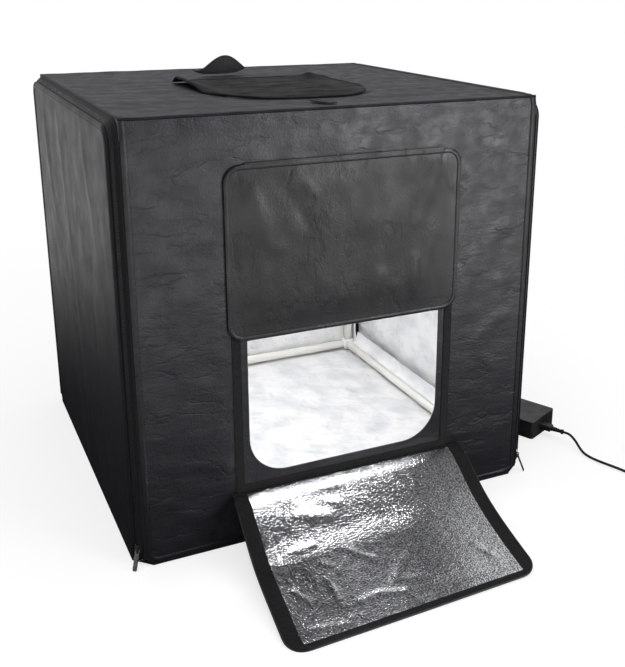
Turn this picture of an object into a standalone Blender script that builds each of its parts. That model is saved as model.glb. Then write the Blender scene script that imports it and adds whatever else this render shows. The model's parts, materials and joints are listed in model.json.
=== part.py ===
"""Light tent cube for product photographs.

A frame of twelve white tubes in three-way corners carries a black shell with a silver lining. The front
has a window with an upper and a lower flap, the top has a smaller opening with its own flap, and both
sides zip off and fold down. Two light bars hang on the frame's upper side tubes, and their mains adapter
lies beside the tent with its lead.

Metres. The front faces -Y, +X is to the right, +Z is up, and the origin is the middle of the underside.
"""

import math

import bmesh
import bpy
from mathutils import Matrix, Vector

for old in list(bpy.data.objects):
    bpy.data.objects.remove(old, do_unlink=True)

# Driving dimensions
HEIGHT = 0.600
DEPTH = 0.600
WIDTH = 0.595  # across the front, top and back panels, inside the zips
SKIN = 0.0015  # the leather-look shell cloth
LINING = 0.0008  # the silver cloth inside it
FIT = 0.0003  # the clearance between pieces that touch
WELD = 0.000002  # points closer than this are one
OVERRUN = 0.010  # how far a cut passes the faces that it goes through
SEW_UNDER = 0.002  # how far a joined shape starts inside the one it is joined to

# The window, the opening in the top and the cut bottom corners
WINDOW_HALF = 0.147
WINDOW_BOTTOM = 0.100
WINDOW_CORNER = 0.055
WINDOW_UNDER_HINGE = 0.040
TOP_OPENING_HALF = 0.100
TOP_OPENING_FRONT = -0.165
TOP_OPENING_BACK = 0.055
TOP_OPENING_CORNER = 0.030
LINING_SHORT = 0.003  # how much wider each opening is in the lining
CORNER_CUT = 0.010

# The zips that hold the sides
TAPE = 0.0008
TAPE_REACH = 0.009  # from the middle of the teeth to the sewn edge of a tape
CHAIN_SPLIT = 0.0011
CHAIN_WIDTH = 0.0024
CHAIN_THICK = 0.0022
ZIP_CORNER = 0.026  # radius of the teeth round an upper corner

ARC_STEPS = 5
DIAGONAL = math.sqrt(0.5)

BODY_X = WIDTH / 2
BODY_Y = DEPTH / 2
ZIP_INSET = (TAPE_REACH + TAPE / 2) * DIAGONAL
ZIP_X = BODY_X + FIT + ZIP_INSET
ZIP_Y = BODY_Y - ZIP_INSET
ZIP_TOP = HEIGHT - ZIP_INSET
SIDE_X = BODY_X + FIT + 2 * ZIP_INSET
SIDE_Y = BODY_Y - 2 * ZIP_INSET - FIT
SIDE_TOP = HEIGHT - 2 * ZIP_INSET - FIT
FLOOR_TOP = SKIN + FIT
ROOF_UNDER = HEIGHT - SKIN - FIT

# Finishes: colour, roughness, metallic
FINISHES = {
    "black_skin": ((0.030, 0.030, 0.033), 0.52, 0.0),
    "side_skin": ((0.045, 0.045, 0.048), 0.50, 0.0),
    "black_tape": ((0.012, 0.012, 0.013), 0.80, 0.0),
    "silver_cloth": ((0.78, 0.79, 0.81), 0.38, 0.6),
    "silver_foil": ((0.62, 0.63, 0.65), 0.28, 0.9),
    "white_tube": ((0.82, 0.81, 0.76), 0.35, 0.0),
    "white_moulding": ((0.86, 0.86, 0.85), 0.40, 0.0),
    "bare_metal": ((0.60, 0.60, 0.60), 0.35, 1.0),
    "dark_metal": ((0.10, 0.10, 0.10), 0.40, 0.8),
    "circuit_white": ((0.80, 0.80, 0.78), 0.50, 0.0),
    "black_plastic": ((0.025, 0.025, 0.027), 0.45, 0.0),
    "black_rubber": ((0.015, 0.015, 0.016), 0.60, 0.0),
}

parts = bpy.data.collections.new("light_tent_cube")
cutters = bpy.data.collections.new("cutters")
bpy.context.scene.collection.children.link(parts)
bpy.context.scene.collection.children.link(cutters)

# Which way a flat outline lies: local X and Y become these, and local Z is its thickness
LYING = Matrix.Identity(4)
FACING_FRONT = Matrix.Rotation(math.radians(90), 4, "X")
FACING_SIDE = Matrix(((0, 0, 1, 0), (1, 0, 0, 0), (0, 1, 0, 0), (0, 0, 0, 1)))


def at(x, y, z):
    return Matrix.Translation((x, y, z))


def put(name, finish, data, place):
    """A visible sub-part with a material of its own."""
    colour, roughness, metallic = FINISHES[finish]
    material = bpy.data.materials.new(name)
    material.use_nodes = True
    shader = material.node_tree.nodes["Principled BSDF"]
    shader.inputs["Base Color"].default_value = (*colour, 1)
    shader.inputs["Roughness"].default_value = roughness
    shader.inputs["Metallic"].default_value = metallic
    data.materials.clear()
    data.materials.append(material)
    obj = bpy.data.objects.new(name, data)
    parts.objects.link(obj)
    obj.matrix_world = place
    return obj


def as_helper(obj):
    """Keeps an object out of the model: it only cuts, joins or guides another."""
    parts.objects.unlink(obj)
    cutters.objects.link(obj)
    obj.hide_render = True
    obj.display_type = "WIRE"
    return obj


def as_mesh(obj):
    """The same object with its curve or modifiers turned into a welded mesh."""
    bpy.context.view_layer.update()
    graph = bpy.context.evaluated_depsgraph_get()
    mesh = bpy.data.meshes.new_from_object(obj.evaluated_get(graph))
    shape = bmesh.new()
    shape.from_mesh(mesh)
    bmesh.ops.remove_doubles(shape, verts=shape.verts, dist=WELD)
    shape.to_mesh(mesh)
    shape.free()
    name, place = obj.name, obj.matrix_world.copy()
    bpy.data.objects.remove(obj, do_unlink=True)
    made = bpy.data.objects.new(name, mesh)
    parts.objects.link(made)
    made.matrix_world = place
    return made


def boolean(obj, operation, *others):
    for other in others:
        step = obj.modifiers.new(other.name, "BOOLEAN")
        step.operation = operation
        step.object = other
    return obj


def pivot(name, place):
    """An empty on a joint's axis, which the moving pieces are parented to."""
    empty = bpy.data.objects.new(name, None)
    parts.objects.link(empty)
    empty.matrix_world = place
    return empty


def hang(empty, *pieces):
    for piece in pieces:
        place = piece.matrix_world.copy()
        piece.parent = empty
        piece.matrix_parent_inverse = empty.matrix_world.inverted()
        piece.matrix_world = place


def rounded(*corners, steps=ARC_STEPS):
    """A closed outline through corners given as (x, y, radius), each rounded by an arc."""
    loop = []
    for index, (x, y, radius) in enumerate(corners):
        here = Vector((x, y))
        if radius == 0:
            loop.append((x, y))
            continue
        before = (Vector(corners[index - 1][:2]) - here).normalized()
        after = (Vector(corners[(index + 1) % len(corners)][:2]) - here).normalized()
        half = before.angle(after) / 2
        middle = here + (before + after).normalized() * (radius / math.sin(half))
        first = here + before * (radius / math.tan(half)) - middle
        last = here + after * (radius / math.tan(half)) - middle
        start = math.atan2(first.y, first.x)
        turn = (math.atan2(last.y, last.x) - start + math.pi) % (2 * math.pi) - math.pi
        for step in range(steps + 1):
            angle = start + turn * step / steps
            loop.append((middle.x + radius * math.cos(angle), middle.y + radius * math.sin(angle)))
    return loop


def rectangle(left, right, low, high, radius=0):
    return rounded((left, low, radius), (right, low, radius), (right, high, radius), (left, high, radius))


def flat(name, finish, loops, thickness, place):
    """A flat outline, with its holes, given a thickness about its own plane."""
    curve = bpy.data.curves.new(name, "CURVE")
    curve.dimensions = "2D"
    curve.fill_mode = "BOTH"
    curve.extrude = thickness / 2
    for loop in loops:
        spline = curve.splines.new("POLY")
        spline.points.add(len(loop) - 1)
        for point, (x, y) in zip(spline.points, loop):
            point.co = (x, y, 0, 1)
        spline.use_cyclic_u = True
    return put(name, finish, curve, place)


def swept(name, finish, path, section, place):
    """A flat section carried along a path in the local XY plane: section x goes to the right of the way."""
    guide = flat(name + "_section", finish, [section], 0, LYING)
    guide.data.fill_mode = "NONE"
    as_helper(guide)
    curve = bpy.data.curves.new(name, "CURVE")
    curve.dimensions = "2D"
    curve.bevel_mode = "OBJECT"
    curve.bevel_object = guide
    curve.use_fill_caps = True
    spline = curve.splines.new("POLY")
    spline.points.add(len(path) - 1)
    for point, (x, y) in zip(spline.points, path):
        point.co = (x, y, 0, 1)
    return put(name, finish, curve, place)


def tube(name, finish, points, radius, detail):
    """A round cord or wire through points in world space."""
    curve = bpy.data.curves.new(name, "CURVE")
    curve.dimensions = "3D"
    curve.bevel_depth = radius
    curve.bevel_resolution = detail
    curve.use_fill_caps = True
    spline = curve.splines.new("POLY")
    spline.points.add(len(points) - 1)
    for point, co in zip(spline.points, points):
        point.co = (*co, 1)
    return put(name, finish, curve, LYING)


def block(name, finish, size, place, bevel=0, segments=1):
    """A box about its own middle, with its edges bevelled if asked."""
    mesh = bpy.data.meshes.new(name)
    shape = bmesh.new()
    bmesh.ops.create_cube(shape, size=1, matrix=Matrix.Diagonal((*size, 1)))
    shape.to_mesh(mesh)
    shape.free()
    obj = put(name, finish, mesh, place)
    if bevel:
        edge = obj.modifiers.new("edges", "BEVEL")
        edge.width = bevel
        edge.segments = segments
        edge.limit_method = "ANGLE"
    return obj


def turned(name, finish, profile, place, closed, steps):
    """A profile of (radius, height) turned about local Z. Its outer side runs from the top down."""
    mesh = bpy.data.meshes.new(name)
    edges = [(i, i + 1) for i in range(len(profile) - 1)]
    if closed:
        edges.append((len(profile) - 1, 0))
    mesh.from_pydata([(radius, 0, height) for radius, height in profile], edges, [])
    obj = put(name, finish, mesh, place)
    screw = obj.modifiers.new("turn", "SCREW")
    screw.axis = "Z"
    screw.steps = steps
    screw.render_steps = steps
    screw.use_merge_vertices = True
    screw.merge_threshold = WELD
    screw.use_smooth_shade = True
    return obj


def cloth(name, finish, columns, rows, shape_of, thickness, place=LYING):
    """A curved sheet: shape_of(s, t) gives a point for s and t from 0 to 1, and Solidify thickens it."""
    mesh = bpy.data.meshes.new(name)
    grid = bmesh.new()
    bmesh.ops.create_grid(grid, x_segments=columns, y_segments=rows, size=1)
    for vertex in grid.verts:
        vertex.co = shape_of((vertex.co.x + 1) / 2, (vertex.co.y + 1) / 2)
    grid.to_mesh(mesh)
    grid.free()
    obj = put(name, finish, mesh, place)
    shell = obj.modifiers.new("thickness", "SOLIDIFY")
    shell.thickness = thickness
    shell.offset = 0
    return obj


def window_outline(extra=0):
    top = UPPER_HINGE_Z - WINDOW_UNDER_HINGE
    return rectangle(
        -WINDOW_HALF - extra, WINDOW_HALF + extra, WINDOW_BOTTOM - extra, top + extra, WINDOW_CORNER + extra
    )


def top_opening_outline(extra=0):
    return rectangle(
        -TOP_OPENING_HALF - extra,
        TOP_OPENING_HALF + extra,
        TOP_OPENING_FRONT - extra,
        TOP_OPENING_BACK + extra,
        TOP_OPENING_CORNER + extra,
    )


def upright_outline(reach, low, high, cut, radius=0):
    """A panel's outline with both bottom corners cut off."""
    return rounded(
        (-reach + cut, low, 0),
        (reach - cut, low, 0),
        (reach, low + cut, 0),
        (reach, high, radius),
        (-reach, high, radius),
        (-reach, low + cut, 0),
    )


# Shell: floor, front, back and top panels, sewn edge to edge
UPPER_HINGE_DROP = 0.065  # from the top down to the upper flap's seam
UPPER_HINGE_Z = HEIGHT - UPPER_HINGE_DROP

flat(
    "floor_panel",
    "black_skin",
    [
        [
            (-BODY_X + CORNER_CUT, -BODY_Y),
            (BODY_X - CORNER_CUT, -BODY_Y),
            (SIDE_X, -SIDE_Y + CORNER_CUT),
            (SIDE_X, SIDE_Y - CORNER_CUT),
            (BODY_X - CORNER_CUT, BODY_Y),
            (-BODY_X + CORNER_CUT, BODY_Y),
            (-SIDE_X, SIDE_Y - CORNER_CUT),
            (-SIDE_X, -SIDE_Y + CORNER_CUT),
        ]
    ],
    SKIN,
    at(0, 0, SKIN / 2),
)
end_outline = upright_outline(BODY_X, FLOOR_TOP, ROOF_UNDER, CORNER_CUT)
front_place = at(0, -BODY_Y + SKIN / 2, 0) @ FACING_FRONT
flat("front_panel", "black_skin", [end_outline, window_outline()], SKIN, front_place)
flat("back_panel", "black_skin", [end_outline], SKIN, at(0, BODY_Y - SKIN / 2, 0) @ FACING_FRONT)
flat(
    "top_panel",
    "black_skin",
    [rectangle(-BODY_X, BODY_X, -BODY_Y, BODY_Y), top_opening_outline()],
    SKIN,
    at(0, 0, HEIGHT - SKIN / 2),
)

# Edge returns: the seam allowance that stands round each side opening behind the zip
RETURN = 0.0012
RETURN_WIDTH = 0.025
RETURN_CORNER = 0.020
RETURN_Y = BODY_Y - SKIN - FIT
for side, word in ((-1, "left"), (1, "right")):
    flat(
        word + "_edge_return",
        "black_skin",
        [
            upright_outline(RETURN_Y, FLOOR_TOP, ROOF_UNDER, CORNER_CUT),
            rectangle(
                -RETURN_Y + RETURN_WIDTH,
                RETURN_Y - RETURN_WIDTH,
                FLOOR_TOP + RETURN_WIDTH,
                ROOF_UNDER - RETURN_WIDTH,
                RETURN_CORNER,
            ),
        ],
        RETURN,
        at(side * (BODY_X - RETURN / 2), 0, 0) @ FACING_SIDE,
    )

# Inner lining: one silver sleeve along the floor, front, top and back
LINING_HALF = BODY_X - CORNER_CUT
sleeve = flat(
    "inner_lining",
    "silver_cloth",
    [
        rectangle(-RETURN_Y, RETURN_Y, FLOOR_TOP, ROOF_UNDER),
        rectangle(-RETURN_Y + LINING, RETURN_Y - LINING, FLOOR_TOP + LINING, ROOF_UNDER - LINING),
    ],
    2 * LINING_HALF,
    FACING_SIDE,
)
sleeve = as_mesh(sleeve)
window_cutter = as_helper(
    as_mesh(
        flat(
            "window_cutter",
            "black_skin",
            [window_outline(LINING_SHORT)],
            2 * OVERRUN,
            at(0, -RETURN_Y, 0) @ FACING_FRONT,
        )
    )
)
top_cutter = as_helper(
    as_mesh(
        flat(
            "top_opening_cutter",
            "black_skin",
            [top_opening_outline(LINING_SHORT)],
            2 * OVERRUN,
            at(0, 0, ROOF_UNDER),
        )
    )
)
boolean(sleeve, "DIFFERENCE", window_cutter, top_cutter)

# Window border: the hook-and-loop strip sewn round the window, which the flaps close against
BORDER = 0.0010
BORDER_HALF = 0.168
BORDER_INNER_HALF = 0.156
BORDER_BOTTOM = 0.070
BORDER_SILL = 0.0185
BORDER_HEAD = 0.016
BORDER_UNDER_HINGE = 0.007
BORDER_CORNER = 0.004
border_top = UPPER_HINGE_Z - BORDER_UNDER_HINGE
flat(
    "window_border",
    "black_tape",
    [
        rectangle(-BORDER_HALF, BORDER_HALF, BORDER_BOTTOM, border_top, BORDER_CORNER),
        rectangle(
            -BORDER_INNER_HALF,
            BORDER_INNER_HALF,
            BORDER_BOTTOM + BORDER_SILL,
            border_top - BORDER_HEAD,
            BORDER_CORNER,
        ),
    ],
    BORDER,
    at(0, -BODY_Y - FIT - BORDER / 2, 0) @ FACING_FRONT,
)
BORDER_FACE = BODY_Y + FIT + BORDER

# Upper flap: hangs over the upper part of the window from a seam along its top
UPPER_FLAP_HALF = 0.169
UPPER_FLAP_LENGTH = 0.230
FLAP_CORNER = 0.020
BINDING = 0.0010
UPPER_BINDING_WIDTH = 0.009
upper_face = BORDER_FACE + FIT
upper_low = UPPER_HINGE_Z - UPPER_FLAP_LENGTH
upper_hinge = pivot("upper_flap_hinge", at(0, -upper_face - SKIN / 2, UPPER_HINGE_Z))
upper_outline = rectangle(-UPPER_FLAP_HALF, UPPER_FLAP_HALF, upper_low, UPPER_HINGE_Z, FLAP_CORNER)
upper_flap = flat(
    "upper_flap", "black_skin", [upper_outline], SKIN, at(0, -upper_face - SKIN / 2, 0) @ FACING_FRONT
)
upper_binding = flat(
    "upper_flap_binding",
    "black_tape",
    [
        upper_outline,
        rectangle(
            -UPPER_FLAP_HALF + UPPER_BINDING_WIDTH,
            UPPER_FLAP_HALF - UPPER_BINDING_WIDTH,
            upper_low + UPPER_BINDING_WIDTH,
            UPPER_HINGE_Z - UPPER_BINDING_WIDTH,
            FLAP_CORNER - UPPER_BINDING_WIDTH,
        ),
    ],
    BINDING,
    at(0, -upper_face - SKIN - FIT - BINDING / 2, 0) @ FACING_FRONT,
)
hang(upper_hinge, upper_flap, upper_binding)

# Lower flap: opened forward, from its seam under the window down to the table
LOWER_FLAP_HALF = 0.175
LOWER_FLAP_LENGTH = 0.250
LOWER_HINGE_Z = 0.080
LOWER_HINGE_STAND = 0.0008  # how far the seam's axis stands off the window border
LOWER_CORNER = 0.025
STRIP = 0.0013
STRIP_SIDE = 0.022
STRIP_FAR = 0.009
STRIP_NEAR = 0.004
SEAM_SHORT = 0.0005  # how far the flap's cloth starts from the axis
lower_stack = STRIP + FIT + SKIN
lower_slope = math.asin((LOWER_HINGE_Z - lower_stack - FIT) / LOWER_FLAP_LENGTH)
lower_place = at(0, -BORDER_FACE - LOWER_HINGE_STAND, LOWER_HINGE_Z) @ Matrix.Rotation(lower_slope, 4, "X")
lower_hinge = pivot("lower_flap_hinge", lower_place)


def lower_outline(side_in, far_in, near_in, radius):
    half = LOWER_FLAP_HALF - side_in
    near = -SEAM_SHORT - near_in
    far = -LOWER_FLAP_LENGTH + far_in
    return rounded((-half, far, radius), (half, far, radius), (half, near, 0), (-half, near, 0))


lower_flap = flat(
    "lower_flap",
    "black_skin",
    [lower_outline(0, 0, 0, LOWER_CORNER)],
    SKIN,
    lower_place @ at(0, 0, -STRIP - FIT - SKIN / 2),
)
lower_strips = flat(
    "lower_flap_strips",
    "black_tape",
    [
        lower_outline(0, 0, 0, LOWER_CORNER),
        lower_outline(STRIP_SIDE, STRIP_FAR, STRIP_NEAR, LOWER_CORNER / 3),
    ],
    STRIP,
    lower_place @ at(0, 0, -STRIP / 2),
)
lower_lining = flat(
    "lower_flap_lining",
    "silver_foil",
    [lower_outline(STRIP_SIDE + FIT, STRIP_FAR + FIT, STRIP_NEAR + FIT, LOWER_CORNER / 3)],
    LINING,
    lower_place @ at(0, 0, -STRIP + LINING / 2),
)
hang(lower_hinge, lower_flap, lower_strips, lower_lining)

# Top flap: lies over the opening in the top, with a lifted left edge and a fold near its seam
TOP_FLAP_HALF = 0.127
TOP_FLAP_LENGTH = 0.2725
TOP_FLAP_ROUND = 0.110  # how far the front corners fall back
TOP_HINGE_Y = 0.080
TOP_FOLD = (0.118, 0.018, 0.0090)  # across, behind the seam, height
TOP_FOLD_WIDE = 0.026
TOP_FOLD_DEEP = 0.016
TOP_EDGE_LIFT = 0.0070
TOP_EDGE_WIDE = 0.016
TOP_FRONT_LIFT = 0.0012
SEAM_STIFF = 0.012  # how far the seam holds the flap down
top_flap_z = HEIGHT + FIT + SKIN / 2


def top_flap_shape(s, t):
    across = (2 * s - 1) * TOP_FLAP_HALF
    back = t * (TOP_FLAP_LENGTH - TOP_FLAP_ROUND * (2 * s - 1) ** 4)
    held = 1 - math.exp(-((back / SEAM_STIFF) ** 2))
    fold = TOP_FOLD[2] * math.exp(
        -(((across - TOP_FOLD[0]) / TOP_FOLD_WIDE) ** 2) - ((back - TOP_FOLD[1]) / TOP_FOLD_DEEP) ** 2
    )
    lift = TOP_EDGE_LIFT * math.exp(-(((across + TOP_FLAP_HALF) / TOP_EDGE_WIDE) ** 2)) * (1 - t * t)
    rise = (fold + lift) * held + TOP_FRONT_LIFT * t**6
    return (across, TOP_HINGE_Y - back, top_flap_z + rise)


top_hinge = pivot("top_flap_hinge", at(0, TOP_HINGE_Y, top_flap_z))
top_flap = cloth("top_flap", "black_skin", 16, 12, top_flap_shape, SKIN)
hang(top_hinge, top_flap)

# Top tab: the tongue of shell cloth behind the top flap, sewn down in the middle of its lower edge
TAB_HALF = 0.047
TAB_X = -0.0225
TAB_Y = 0.172
TAB_SWEEP = 0.008  # how far the ends lie behind the middle
TAB_DRIFT = 0.006  # how far both ends lie to the right
TAB_END_LIFT = 0.0075
TAB_TIP = 0.0015
TAB_RISE = 0.0215
TAB_LEAN = 0.005


def tab_shape(s, t):
    u = 2 * s - 1
    low = TAB_END_LIFT * u**4
    crown = (1 - u) * (1 + u) ** 2 / (2 / 3 * (4 / 3) ** 2)
    high = low + TAB_TIP + (TAB_RISE + TAB_END_LIFT * (1 - u**4)) * crown
    return (
        TAB_X + TAB_HALF * u + TAB_DRIFT * u * u,
        TAB_Y + TAB_SWEEP * u * u + TAB_LEAN * t * crown,
        top_flap_z + low + t * (high - low),
    )


tab_hinge = pivot("top_tab_hinge", at(0, TAB_Y, top_flap_z))
top_tab = cloth("top_tab", "black_skin", 12, 4, tab_shape, SKIN)
hang(tab_hinge, top_tab)

# Hook patch in front of the top flap
PATCH_SIZE = (0.042, 0.013, 0.0016)
PATCH_X = -0.014
PATCH_AHEAD = 0.0595  # in front of the flap's front edge
PATCH_TURN_DEGREES = -72
block(
    "top_hook_patch",
    "black_tape",
    PATCH_SIZE,
    at(PATCH_X, TOP_HINGE_Y - TOP_FLAP_LENGTH - PATCH_AHEAD, HEIGHT + FIT + PATCH_SIZE[2] / 2)
    @ Matrix.Rotation(math.radians(PATCH_TURN_DEGREES), 4, "Z"),
)

# Frame: twelve tubes pushed onto eight three-way corners
TUBE_RADIUS = 0.008
TUBE_WALL = 0.0012
TUBE_STEPS = 16
HUB_STAND = 0.0116  # from a hub's middle to each of its faces
HUB_HALF = 0.0111  # the hub between its collars
HUB_ROUND = 0.0048
COLLAR = 0.0083
COLLAR_ROOT = 0.0042
COLLAR_STEPS = 14
SPIGOT_RADIUS = TUBE_RADIUS - TUBE_WALL - FIT
SPIGOT_LENGTH = 0.026
SPIGOT_WEB = 0.0030
SPIGOT_ROOT = 0.0024  # from the middle out to the corner between two ribs, along each of them
FRAME_X = BODY_X - RETURN - FIT - HUB_STAND
FRAME_Y = RETURN_Y - LINING - FIT - HUB_STAND
FRAME_LOW = FLOOR_TOP + LINING + FIT + HUB_STAND
FRAME_HIGH = ROOF_UNDER - LINING - FIT - HUB_STAND

AXIS_TURNS = {
    "x": Matrix.Rotation(math.radians(90), 4, "Y"),
    "y": Matrix.Rotation(math.radians(-90), 4, "X"),
    "z": LYING,
}


def frame_tube(name, axis, middle, span):
    """A tube between two hubs whose middles lie a span apart."""
    half = span / 2 - HUB_STAND - FIT
    bore = TUBE_RADIUS - TUBE_WALL
    profile = [(TUBE_RADIUS, half), (TUBE_RADIUS, -half), (bore, -half), (bore, half)]
    turned(name, "white_tube", profile, at(*middle) @ AXIS_TURNS[axis], True, TUBE_STEPS)


for height, level in ((FRAME_LOW, "bottom"), (FRAME_HIGH, "top")):
    for side, word in ((-1, "front"), (1, "back")):
        frame_tube(f"{word}_{level}_tube", "x", (0, side * FRAME_Y, height), 2 * FRAME_X)
    for side, word in ((-1, "left"), (1, "right")):
        frame_tube(f"{word}_{level}_tube", "y", (side * FRAME_X, 0, height), 2 * FRAME_Y)
for across, word in ((-1, "left"), (1, "right")):
    for along, end in ((-1, "front"), (1, "back")):
        frame_tube(
            f"{end}_{word}_post",
            "z",
            (across * FRAME_X, along * FRAME_Y, (FRAME_LOW + FRAME_HIGH) / 2),
            FRAME_HIGH - FRAME_LOW,
        )


def spigot_outline():
    """A cross of four ribs whose ends follow the tube's bore."""
    half_turn = math.asin(SPIGOT_WEB / 2 / SPIGOT_RADIUS)
    loop = []
    for quarter in range(4):
        middle = quarter * math.pi / 2
        for angle in (middle - half_turn, middle + half_turn):
            loop.append((SPIGOT_RADIUS * math.cos(angle), SPIGOT_RADIUS * math.sin(angle)))
        corner = middle + math.pi / 4
        root = SPIGOT_ROOT / DIAGONAL
        loop.append((root * math.cos(corner), root * math.sin(corner)))
    return loop


def corner_mesh():
    """The moulded corner: a rounded hub, a collar for each tube's end, and three cross-ribbed spigots."""
    hub = block("corner_hub", "white_moulding", (2 * HUB_HALF,) * 3, LYING, HUB_ROUND, 1)
    for axis, turn in AXIS_TURNS.items():
        length = HUB_STAND - COLLAR_ROOT + SPIGOT_LENGTH
        middle = turn @ at(0, 0, COLLAR_ROOT + length / 2 - SEW_UNDER / 2)
        spigot = flat("spigot_" + axis, "white_moulding", [spigot_outline()], length, middle)
        collar = turned(
            "collar_" + axis,
            "white_moulding",
            [(0, HUB_STAND), (COLLAR, HUB_STAND), (COLLAR, COLLAR_ROOT), (0, COLLAR_ROOT)],
            turn,
            False,
            COLLAR_STEPS,
        )
        boolean(hub, "UNION", as_helper(as_mesh(collar)), as_helper(as_mesh(spigot)))
    hub = as_mesh(hub)
    mesh = hub.data
    bpy.data.objects.remove(hub, do_unlink=True)
    return mesh


CORNER_WORDS = (("front", "left"), ("front", "right"), ("back", "right"), ("back", "left"))
corner = corner_mesh()
for level, height, flip in (("bottom", FRAME_LOW, 0), ("top", FRAME_HIGH, 1)):
    for quarter, (along, across) in enumerate(CORNER_WORDS):
        side = 1 if across == "right" else -1
        depth = 1 if along == "back" else -1
        turn = Matrix.Rotation(quarter * math.pi / 2, 4, "Z")
        if flip:
            turn = turn @ Matrix.Rotation(math.pi / 2, 4, "Z") @ Matrix.Rotation(math.pi, 4, "X")
        place = at(side * FRAME_X, depth * FRAME_Y, height) @ turn
        put(f"{along}_{across}_{level}_corner", "white_moulding", corner.copy(), place)

# Zips: a tape half sewn to the shell and a half sewn to the side panel, all round but along the floor
SLIDER_LENGTH = 0.011
SLIDER_WIDTH = 0.0092
SLIDER_PLATE = 0.0010
SLIDER_WEB = 0.0005
SLIDER_STAND = 0.0094  # from the cut corner up to the slider
BAIL_WIDTH = 0.0020
BAIL_LENGTH = 0.0084
BAIL_ROOM = 0.0020
BAIL_WIRE = 0.0009
PULL_LENGTH = 0.0285
PULL_WIDTH = 0.0064
PULL_THICK = 0.0010
PULL_EYE = 0.0056  # how far the eye reaches from the pivot
PULL_EYE_WIDTH = 0.0034
PULL_BAR = 0.0009
SIDE_HEM = 0.004  # how far the lining stays inside a side panel's edge
tape_low = CORNER_CUT + FLOOR_TOP + FIT
slider_low = tape_low + SLIDER_STAND
slider_z = slider_low + SLIDER_LENGTH / 2
slider_top = slider_low + SLIDER_LENGTH
plate_in = CHAIN_THICK / 2 + FIT
plate_out = plate_in + SLIDER_PLATE
web_root = plate_in + SLIDER_PLATE / 8
pull_stand = plate_out + BAIL_ROOM / 2
pull_tilt = math.acos((slider_z - FIT - PULL_THICK / 2) / PULL_LENGTH)


def zip_path(front_low, back_low):
    """Along the teeth in (y, z): up the front edge, back along the top edge and down the back edge."""
    arc = rounded(
        (-ZIP_Y, 0, 0), (-ZIP_Y, ZIP_TOP, ZIP_CORNER), (ZIP_Y, ZIP_TOP, ZIP_CORNER), (ZIP_Y, 0, 0), steps=7
    )
    return [(-ZIP_Y, front_low), *arc[1:-1], (ZIP_Y, back_low)]


def tape_section(toward_body, side):
    """A tape with its half of the teeth: u runs from the teeth to the sewn edge, w out of the tent."""
    near = CHAIN_SPLIT / 2
    far = near + CHAIN_WIDTH
    outline = [
        (near, -CHAIN_THICK / 2),
        (far, -CHAIN_THICK / 2),
        (far, -TAPE / 2),
        (TAPE_REACH, -TAPE / 2),
        (TAPE_REACH, TAPE / 2),
        (far, TAPE / 2),
        (far, CHAIN_THICK / 2),
        (near, CHAIN_THICK / 2),
    ]
    loop = [(-(toward_body * u + w) * DIAGONAL, side * (w - toward_body * u) * DIAGONAL) for u, w in outline]
    if side != toward_body:
        loop.reverse()
    return loop


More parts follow.
